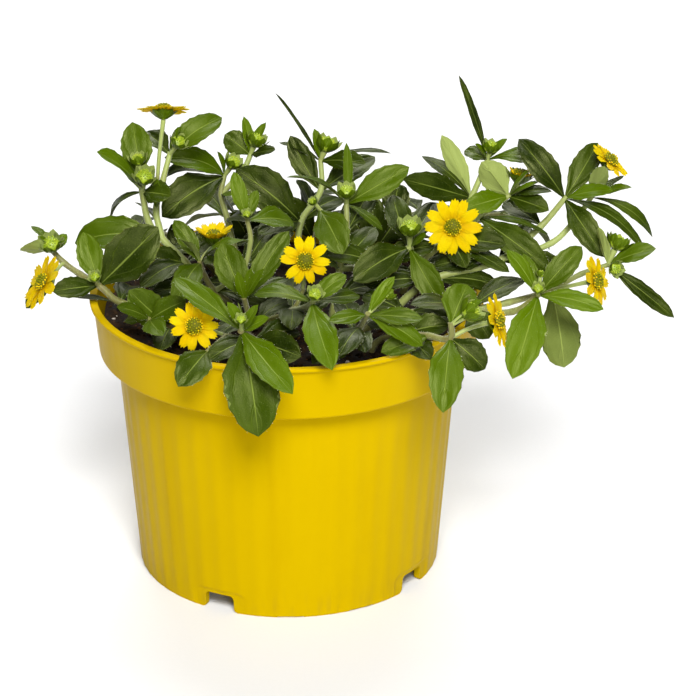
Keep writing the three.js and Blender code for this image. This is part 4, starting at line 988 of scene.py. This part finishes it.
# Front centre: a low rosette with a ruffled bud
shoot = LeafyStem()
low = (20, -34, 88)
neck = (22, -42, 93)
node = (24, -47, 99)
shoot.stem(rooted(18, -26, low, neck, node), 2.2, 1.6)
shoot.pair(low, 100, long=20, rise=0.1)
shoot.leaf(low, (8, -50, 85), wide=9, front=0.8, arch=1.5, age=0.6)
shoot.pair(neck, 70, long=18, rise=-0.1, front=0.5)
shoot.leaf(node, (13, -54, 100), wide=5, front=0.6, arch=1, age=0.4)
shoot.leaf(node, (40, -50, 99), wide=6, front=0.5, arch=1, age=0.4)
shoot.leaf(node, (40, -51, 91), wide=7, front=0.6, arch=2, age=0.4)
shoot.bud(node, (30, -43, 104), 2)
shoot.bract(node, (32, -42, 109), wide=4, front=0.5)

# Back right: the plant's tallest shoots, with a big bloom below them that faces the viewer
shoot = LeafyStem()
foot = (38, 6, 92)
low = (49, 3, 103)
bend = (58, 6, 109)
node = (67, 8, 115)
shoot.stem(rooted(30, 8, foot, low, bend, node), 2.6, 1.6)
shoot.pair(foot, 30, rise=-0.1, front=0.5)
shoot.leaf(node, (53, 0, 114), wide=7, front=0.8, arch=1.5, age=0.2)
shoot.leaf(node, (59, 14, 124), wide=9, front=-0.8, arch=1, age=0.15)
shoot.leaf(node, (80, 4, 118), wide=4.5, front=0.3, arch=1, age=0.7)
shoot.leaf(node, (79, 1, 113), wide=7, front=0.6, arch=1, age=0.8)
shoot.leaf(bend, (79, -1, 106), wide=4, front=0.1, arch=2, age=0.6)
shoot.bract(node, (73, 3.5, 125))
shoot.bract(node, (76, 3, 121.5), wide=3)
shoot.bloom(node, (70.6, 12, 119.6), (0.2, 0.1, 0.97), reach=5, rays=7, rise=0.8, via=(69, 9.6, 116))
shoot.bloom(low, (50, -2, 109), (0, -0.95, 0.3), reach=9.2, rays=12, via=(51, 4, 106))
shoot.leaf(low, (54, -8, 98), wide=7, front=0.8, arch=1, age=0.7)
shoot.leaf(bend, (79, -7, 97), wide=9, front=0.8, arch=3, age=0.75)
shoot.leaf(low, (67, -9, 97), wide=6, front=0.4, arch=1, age=0.8)
fork = (56, 12, 113)
crown = (61, 18, 123)
shoot.stem([low, fork, crown], 2, 1.6)
shoot.leaf(fork, (47, 20, 130.5), wide=6, front=-0.8, arch=1, age=0)
shoot.leaf(fork, (41, 22, 123), wide=6, front=0.1, arch=2, age=0.8)
shoot.leaf(fork, (35, 4, 122), wide=8.5, front=0.8, arch=0.5, age=0.8)
shoot.leaf(crown, (52, 22, 149), wide=3, front=0.3, arch=1, age=1)
shoot.leaf(crown, (80, 12, 124), wide=6.5, front=0.4, arch=3, age=0.35)
shoot.leaf(crown, (54, 21, 125), wide=6, front=0.4, arch=1, age=0.6)
shoot.bract(crown, (67, 18, 130))
shoot.bract(crown, (57, 16, 129))
shoot.bud(crown, (62, 18, 127.5), 2.4)
shoot.leaf(low, (66, -4, 104), wide=9, front=0.6, arch=1, age=0.8)

# Right: it leans far out, with a bloom on top that looks up and outward
shoot = LeafyStem()
low = (64, -2, 98)
node = (84, 6, 115)
foot = (44, -5, 93)
bend = (77, 4, 107)
shoot.stem(rooted(32, -6, foot, low, bend, node), 2.8, 1.8)
shoot.pair(foot, 0, long=20, rise=-0.1, front=0.5)
shoot.pair(low, 0, long=20, rise=-0.1, front=0.5)
shoot.leaf(bend, (66, 16, 110), wide=8, front=0.5, arch=1, age=0.9)
shoot.leaf(low, (74, 12, 104), wide=8, front=0.5, arch=1, age=0.9)
shoot.leaf(node, (70, 12, 132), wide=8.5, front=0.8, arch=5, age=0.75)
shoot.leaf(node, (73, 21, 121.4), wide=6, front=0.2, arch=3, age=0.9)
shoot.leaf(node, (94.5, 18, 128.7), wide=8, front=0.7, arch=1, age=0.65)
shoot.leaf(node, (95.2, -8, 101.5), wide=8, front=0.9, arch=3, age=0.65)
shoot.leaf(node, (97.7, -3, 121), wide=6, front=0.5, arch=1, age=0.1)
shoot.leaf(node, (107.6, -4, 102.4), wide=5.5, front=0.3, arch=4, age=0.65)
elbow = (88, 4, 110)
crown = (92, 7, 115)
shoot.stem([low, (80, 0, 103), elbow, crown], 2, 1.6)
shoot.leaf(crown, (95, -1, 128), wide=5.5, front=-0.9, arch=0.5, age=0)
shoot.leaf(crown, (103.7, 1, 120.4), wide=5, front=0.2, arch=1, age=0.2)
shoot.leaf(crown, (111, 5, 102.8), wide=4.5, front=0.4, arch=4.5, age=0.65)
shoot.leaf(crown, (102.2, 11, 120.6), wide=3.5, front=0.1, arch=0.5, age=0.5)
shoot.bloom(crown, (97, 9, 125.6), (0.63, -0.12, 0.77), reach=7.4, via=(92.5, 8, 119))

# Right front: a fresh rosette, and a runner that ends in two buds
shoot = LeafyStem()
rim_crossing = (54, -27, 92)
low = (67, -30, 93)
node = (74, -32, 99)
foot = (36, -22, 89)
shoot.stem(rooted(24, -18, foot, rim_crossing, low, node), 2.6, 1.8)
shoot.pair(foot, 140, rise=0.1, front=0.5)
shoot.pair(rim_crossing, 30, long=20, rise=0.3)
shoot.leaf(node, (65, -26, 111), wide=6, front=0.2, arch=1, age=0.2)
shoot.leaf(node, (70, -24, 109), wide=4.5, front=0.6, arch=0.5, age=0.3)
shoot.leaf(node, (87, -26, 112), wide=7.5, front=0.8, arch=2, age=0.4)
shoot.leaf(node, (93, -38, 97), wide=6.5, front=0.6, arch=2, age=0.05)
shoot.leaf(node, (66, -52, 81), wide=11, front=0.9, arch=3, age=0.05)
shoot.bud(node, (74, -34, 102), 1.6)
shoot.bud(node, (75, -30, 105), 1.3)
fork = (79, -18, 95)
crown = (96, -13, 101)
shoot.stem([rim_crossing, (66, -23, 93), fork, (88, -13, 98), crown], 2, 1.4)
shoot.leaf(fork, (82, -38, 78.5), wide=12, front=-0.9, arch=1, age=0.6)
shoot.leaf(rim_crossing, (60, -34, 86), wide=9, front=0.7, arch=1, age=0.6)
shoot.leaf(crown, (110, -15, 107), wide=7, front=0.4, arch=1, age=0.3)
shoot.leaf(crown, (93, -10, 112), wide=5, front=-0.3, arch=0.5, age=0.2)
shoot.leaf(crown, (116, -18, 86), wide=5.5, front=0.6, arch=0.8, age=0.7)
shoot.bud(crown, (98, -17, 101.4), 2)
shoot.bud(crown, (99, -11, 107.6), 3)
shoot.bloom(fork, (91.3, -22, 99.4), (0.84, -0.43, 0.31), reach=8.2, rays=10)

# Front right: a wide bud, a bloom turned sideways, and leaves that hang over the rim
shoot = LeafyStem()
foot = (34, -38, 89)
low = (42, -46, 92)
node = (48, -50, 93)
neck = (48, -50, 97)
shoot.stem(rooted(26, -30, foot, low, node, neck), 2.2, 1.8)
shoot.pair(foot, 120, rise=-0.1, front=0.5)
shoot.leaf(low, (28, -51, 89), wide=7, front=0.6, arch=1, age=0.6)
shoot.bud(neck, (54, -50, 101.5), 3.4)
shoot.leaf(node, (45.5, -69, 78), wide=10, front=0.9, arch=3, age=0.4)
shoot.leaf(node, (58, -54, 85), wide=9, front=0.8, arch=1, age=0.85)
shoot.leaf(foot, (48, -38, 92), wide=8, front=0.6, arch=1, age=0.7)
shoot.leaf(neck, (53, -41, 106), wide=10.5, front=0.8, arch=0.5, age=0.4)
shoot.bract(neck, (57, -50, 105), wide=4)
shoot.bloom(node, (61, -45.5, 96.4), (0.9, -0.27, 0.33), via=(53, -48, 95), reach=8.2)

# Back: five creeping stems that fill the side away from the viewer
shoot = LeafyStem()
path = [(-29, 32, 86), (-40, 43, 89.3), (-49, 53, 86), (-55, 62, 80)]
shoot.stem(rooted(-22, 26, *path), 2.4, 1.6)
shoot.pairs(path, 0.3, 17, 9, 11)
shoot.leaf(path[0], (-37, 34, 96), wide=9, front=0.9, arch=1)

shoot = LeafyStem()
path = [(-12, 41, 86), (-17, 52, 91), (-22, 63.91, 88)]
shoot.stem(rooted(-8, 32, *path), 2.4, 1.6)
shoot.pairs(path, 0.6, 17, 9, 23)
shoot.leaf(path[0], (-18, 40, 98), wide=10, front=0.9, arch=1)
shoot.leaf(path[0], (-7, 39, 99), wide=9, front=0.9, arch=1)

shoot = LeafyStem()
path = [(7, 42, 88), (6, 53, 92), (4, 63, 90)]
shoot.stem(rooted(8, 34, *path), 2.4, 1.6)
shoot.pairs(path, 0.4, 18, 9, 37)
shoot.leaf(path[0], (-1, 40, 103), wide=9, front=0.9, arch=1)
shoot.bloom(path[2], (1, 74.2, 80), (0, 0.95, 0.3), reach=7.6, via=(3, 69, 85))

shoot = LeafyStem()
path = [(27, 35, 87), (34, 48, 92), (42, 60, 90)]
shoot.stem(rooted(22, 26, *path), 2.4, 1.6)
shoot.pairs(path, 0.1, 18, 9, 41)
shoot.leaf(path[0], (17, 38, 101), wide=9, front=0.9, arch=1)
shoot.leaf(path[0], (26, 39, 104), wide=9, front=0.9, arch=1)
shoot.leaf(path[0], (37, 41, 100), wide=9, front=0.9, arch=1)
shoot.bloom(path[2], (50, 72, 80), (0.4, 0.85, 0.35), reach=7.8, via=(46, 67, 86))

shoot = LeafyStem()
path = [(43, 21, 90), (55, 32, 97), (66, 42, 96), (75, 51, 90)]
shoot.stem(rooted(36, 16, *path), 2.4, 1.6)
shoot.pairs(path, 0.7, 17, 9, 53)

for number, shoot in enumerate(LeafyStem.grown, 1):
    shoot.settle(number)

# Blooms: a whorl of thin, bright yellow ray petals with notched tips, which grow from under the
# disc, and a domed olive disc packed in spirals with tiny tube-shaped florets.
plate_radius = 3
petal_level = 0.7
petal_root = 1.3
petal_thickness = 0.22
disc_radius = 2.5
disc_height = 2.0
disc_foot = 1.0
disc_florets = 52
golden_angle = 2.39996


def petal_skin():
    finish = Finish("ray petal", {"Specular IOR Level": 0.3, "Specular Tint": colour(255, 230, 90),
                                 "Subsurface Weight": 0.35, "Subsurface Scale": 0.001,
                                 "Subsurface Radius": (1, 0.8, 0.2)})
    petal_map = finish.node("ShaderNodeUVMap", {}, uv_map="blade").outputs[0]
    sides = finish.node("ShaderNodeSeparateXYZ", {0: petal_map})
    along = sides.outputs["Y"]
    lines = finish.math("FRACT", finish.math("MULTIPLY", sides.outputs["X"], 22))
    lines = finish.math("ABSOLUTE", finish.math("SUBTRACT", lines, 0.5))
    spots = finish.noise(700, 3)
    tone = finish.attribute("age")
    base = finish.mix(tone, colour(202, 176, 0), colour(198, 162, 0))
    # Painted shade: the petal turns darker orange towards its base. This stands for the shade near the disc,
    # and partly also for the petal's own deeper colour there.
    base = finish.mix(finish.step(along, 0.55, 0.1, 0, 0.75), base, colour(180, 132, 0))
    base = finish.mix(finish.step(lines, 0.18, 0.02, 0, 0.35), base, colour(184, 130, 0))
    base = finish.mix(finish.step(spots, 0.5, 0.8, 0, 0.3), base, colour(222, 200, 30))
    height = finish.math("ADD", lines, finish.math("MULTIPLY", spots, 0.5))
    return finish.done(base, finish.step(spots, 0.2, 0.8, 0.42, 0.58), finish.relief(height, 0.5, 0.00025))


def floret_skin():
    finish = Finish("disc florets", {"Specular IOR Level": 0.15})
    spots = finish.noise(1500, 2)
    tone = finish.attribute("age")
    base = finish.mix(finish.step(tone, 0.1, 0.45), colour(88, 88, 4), colour(118, 124, 8))
    base = finish.mix(finish.step(tone, 0.45, 0.65), base, colour(160, 146, 8))
    base = finish.mix(finish.step(tone, 0.66, 0.78), base, colour(214, 180, 10))
    base = finish.mix(finish.step(spots, 0.5, 0.75, 0, 0.3), base, colour(96, 92, 6))
    return finish.done(base, finish.step(spots, 0.3, 0.7, 0.55, 0.75), finish.relief(spots, 0.5, 0.0001))


def whorl(place, reach, rays, rise, numbers):
    """The ray petals of one bloom. Each has its own length and lift, and none is quite level."""
    shape = blank()
    for ray in range(rays):
        length = reach * (0.93 + 0.1 * next(numbers)) - plate_radius
        lift = rise + 0.16 * (next(numbers) - 0.5)
        angle = 2 * math.pi * (ray + 0.34 * (next(numbers) - 0.5)) / rays
        out = Vector((math.cos(angle), math.sin(angle), 0))
        side = Vector((-math.sin(angle), math.cos(angle), 0))
        broad = (0.17 + 0.035 * next(numbers)) * reach
        low = 0.14 * (ray % 2)
        droop = 0.25 + 0.3 * next(numbers)

        def form(turn, share):
            across = 4 * turn - 1 if turn <= 0.5 else 3 - 4 * turn
            notch = 0.09 * (1 - abs(math.sin(1.5 * math.pi * (across + 1))))
            run = share * (1 - share * (0.12 * across * across + notch))
            radius = petal_root + run * (plate_radius + length - petal_root)
            past = max(0, radius - plate_radius + 0.8) ** 1.15 / (length + 0.8) ** 0.15
            half = broad * (0.4 + 0.6 * math.sin(math.pi / 2 * min(1, share / 0.6)))
            half *= 1 - 0.16 * max(0, share - 0.75) / 0.25
            height = petal_level - low + past * math.tan(min(lift, 0.95)) * (1 - 0.25 * lift)
            height += 0.22 * abs(across) * math.sin(math.pi * share) - droop * share ** 4
            height -= 0.12 if 0.2 < abs(across) < 0.5 else 0
            if lift > 0.4:
                radius = plate_radius - 0.8 + past * math.cos(lift) if past > 0 else radius
            if turn > 0.5:
                full = math.sin(math.pi * min(1, share * 1.01)) ** 0.5
                height -= petal_thickness * full * (1 - across ** 4)
            return place(out * radius + side * across * half + Vector((0, 0, height)))

        rolled(shape, 12, 8, form, 0, age=next(numbers))
    return shape


def disc(place, numbers):
    shape = blank()

    def dome(turn, share):
        angle = 2 * math.pi * turn
        bend = math.pi / 2 * min(1, (1 - share) * 1.2)
        radius = disc_radius * math.sin(bend) if share > 0 else 0
        height = disc_height * 0.82 * math.cos(bend)
        return place(Vector((radius * math.cos(angle), radius * math.sin(angle), disc_foot + height)))

    rolled(shape, 24, 9, dome, 0, age=0.1)
    for floret in range(disc_florets):
        spread = math.sqrt((floret + 0.5) / disc_florets)
        angle, bend = golden_angle * floret, math.pi / 2 * spread ** 1.05
        out = Vector((math.cos(angle), math.sin(angle), 0))
        level = disc_foot + 0.76 * disc_height * math.cos(bend)
        root = out * disc_radius * 0.9 * math.sin(bend) + Vector((0, 0, level))
        way = (out * math.sin(bend) * 0.8 + Vector((0, 0, 1)) * (0.25 + math.cos(bend))).normalized()
        size = 0.22 + 0.05 * spread
        height = (0.35 + 0.25 * spread) * (0.8 + 0.4 * next(numbers))
        across, over = square_to(root, way)
        radii = (0, size, size * 1.1, size * 0.6, 0)
        steps = (0, 0, 0.6, 1, 0.8)

        def tube_floret(turn, share):
            row = round(4 * share)
            around = 2 * math.pi * turn
            return place(root + steps[row] * height * way
                         + radii[row] * spoke(around, across, over))

        rolled(shape, 6, 4, tube_floret, 0, age=min(1, 0.2 + 0.5 * next(numbers) + 0.45 * spread ** 3))
    return shape


petal_material, floret_material = petal_skin(), floret_skin()
blooms = [bloom for shoot in LeafyStem.grown for bloom in shoot.blooms]
for number, (middle, way, reach, rays, rise) in enumerate(blooms, 1):
    turn = upward.rotation_difference(way).to_matrix()

    def place(point):
        return middle + turn @ point

    numbers = lcg(900 + round(middle.x))
    set_down(whorl(place, reach, rays, rise, numbers), f"petals_{number:02d}", f"bloom_{number:02d}_rays",
             [petal_material], crease=50)
    set_down(disc(place, numbers), f"florets_{number:02d}", f"bloom_{number:02d}_disc",
             [floret_material], crease=50)

# Studio: a plain pale floor, a dim white surround and three round soft lamps: the main one above
# and in front, a weak one low in front, and one behind. The camera looks down from the front.
floor_half_width = 3
camera_distance, camera_height = 0.8463, 0.4315
camera_pitch = 66.75
focal_length = 155.17


def floor_paper():
    finish = Finish("pale floor", {"Specular IOR Level": 0.2})
    fibres = finish.noise(900, 3)
    base = finish.mix(fibres, colour(216, 216, 216), colour(220, 220, 220))
    return finish.done(base, finish.step(fibres, 0.3, 0.7, 0.7, 0.8), finish.relief(fibres, 0.05, 0.0001))


floor_shape = bmesh.new()
bmesh.ops.create_grid(floor_shape, x_segments=1, y_segments=1, size=floor_half_width)
floor_mesh = bpy.data.meshes.new("floor")
floor_shape.to_mesh(floor_mesh)
floor_shape.free()
floor_mesh.materials.append(floor_paper())
floor = bpy.data.objects.new("floor", floor_mesh)
bpy.context.scene.collection.objects.link(floor)


def soft_lamp(name, place, size, power, aim=(0, 0, 0.08)):
    lamp = bpy.data.lights.new(name, "AREA")
    lamp.shape = "DISK"
    lamp.size = size
    lamp.energy = power
    holder = bpy.data.objects.new(name, lamp)
    holder.location = place
    holder.rotation_euler = (Vector(aim) - Vector(place)).to_track_quat("-Z", "Y").to_euler()
    bpy.context.scene.collection.objects.link(holder)


soft_lamp("key lamp", (0.15, -1.6, 1.75), 1, 80)
soft_lamp("fill lamp", (0.4, -2.2, 0.8), 0.9, 19)
soft_lamp("back lamp", (0, 1.4, 1.8), 1.6, 48, (0, 0.4, 0))

surround = bpy.data.worlds.new("white surround")
surround.use_nodes = True
surround.node_tree.nodes["Background"].inputs["Color"].default_value = (1, 1, 1, 1)
surround.node_tree.nodes["Background"].inputs["Strength"].default_value = 0.06
bpy.context.scene.world = surround
bpy.context.scene.view_settings.view_transform = "Standard"

camera_data = bpy.data.cameras.new("camera")
camera_data.lens = focal_length
camera_data.sensor_width = 36
camera = bpy.data.objects.new("camera", camera_data)
camera.location = (0, -camera_distance, camera_height)
camera.rotation_euler = (math.radians(camera_pitch), 0, 0)
bpy.context.scene.collection.objects.link(camera)
bpy.context.scene.camera = camera
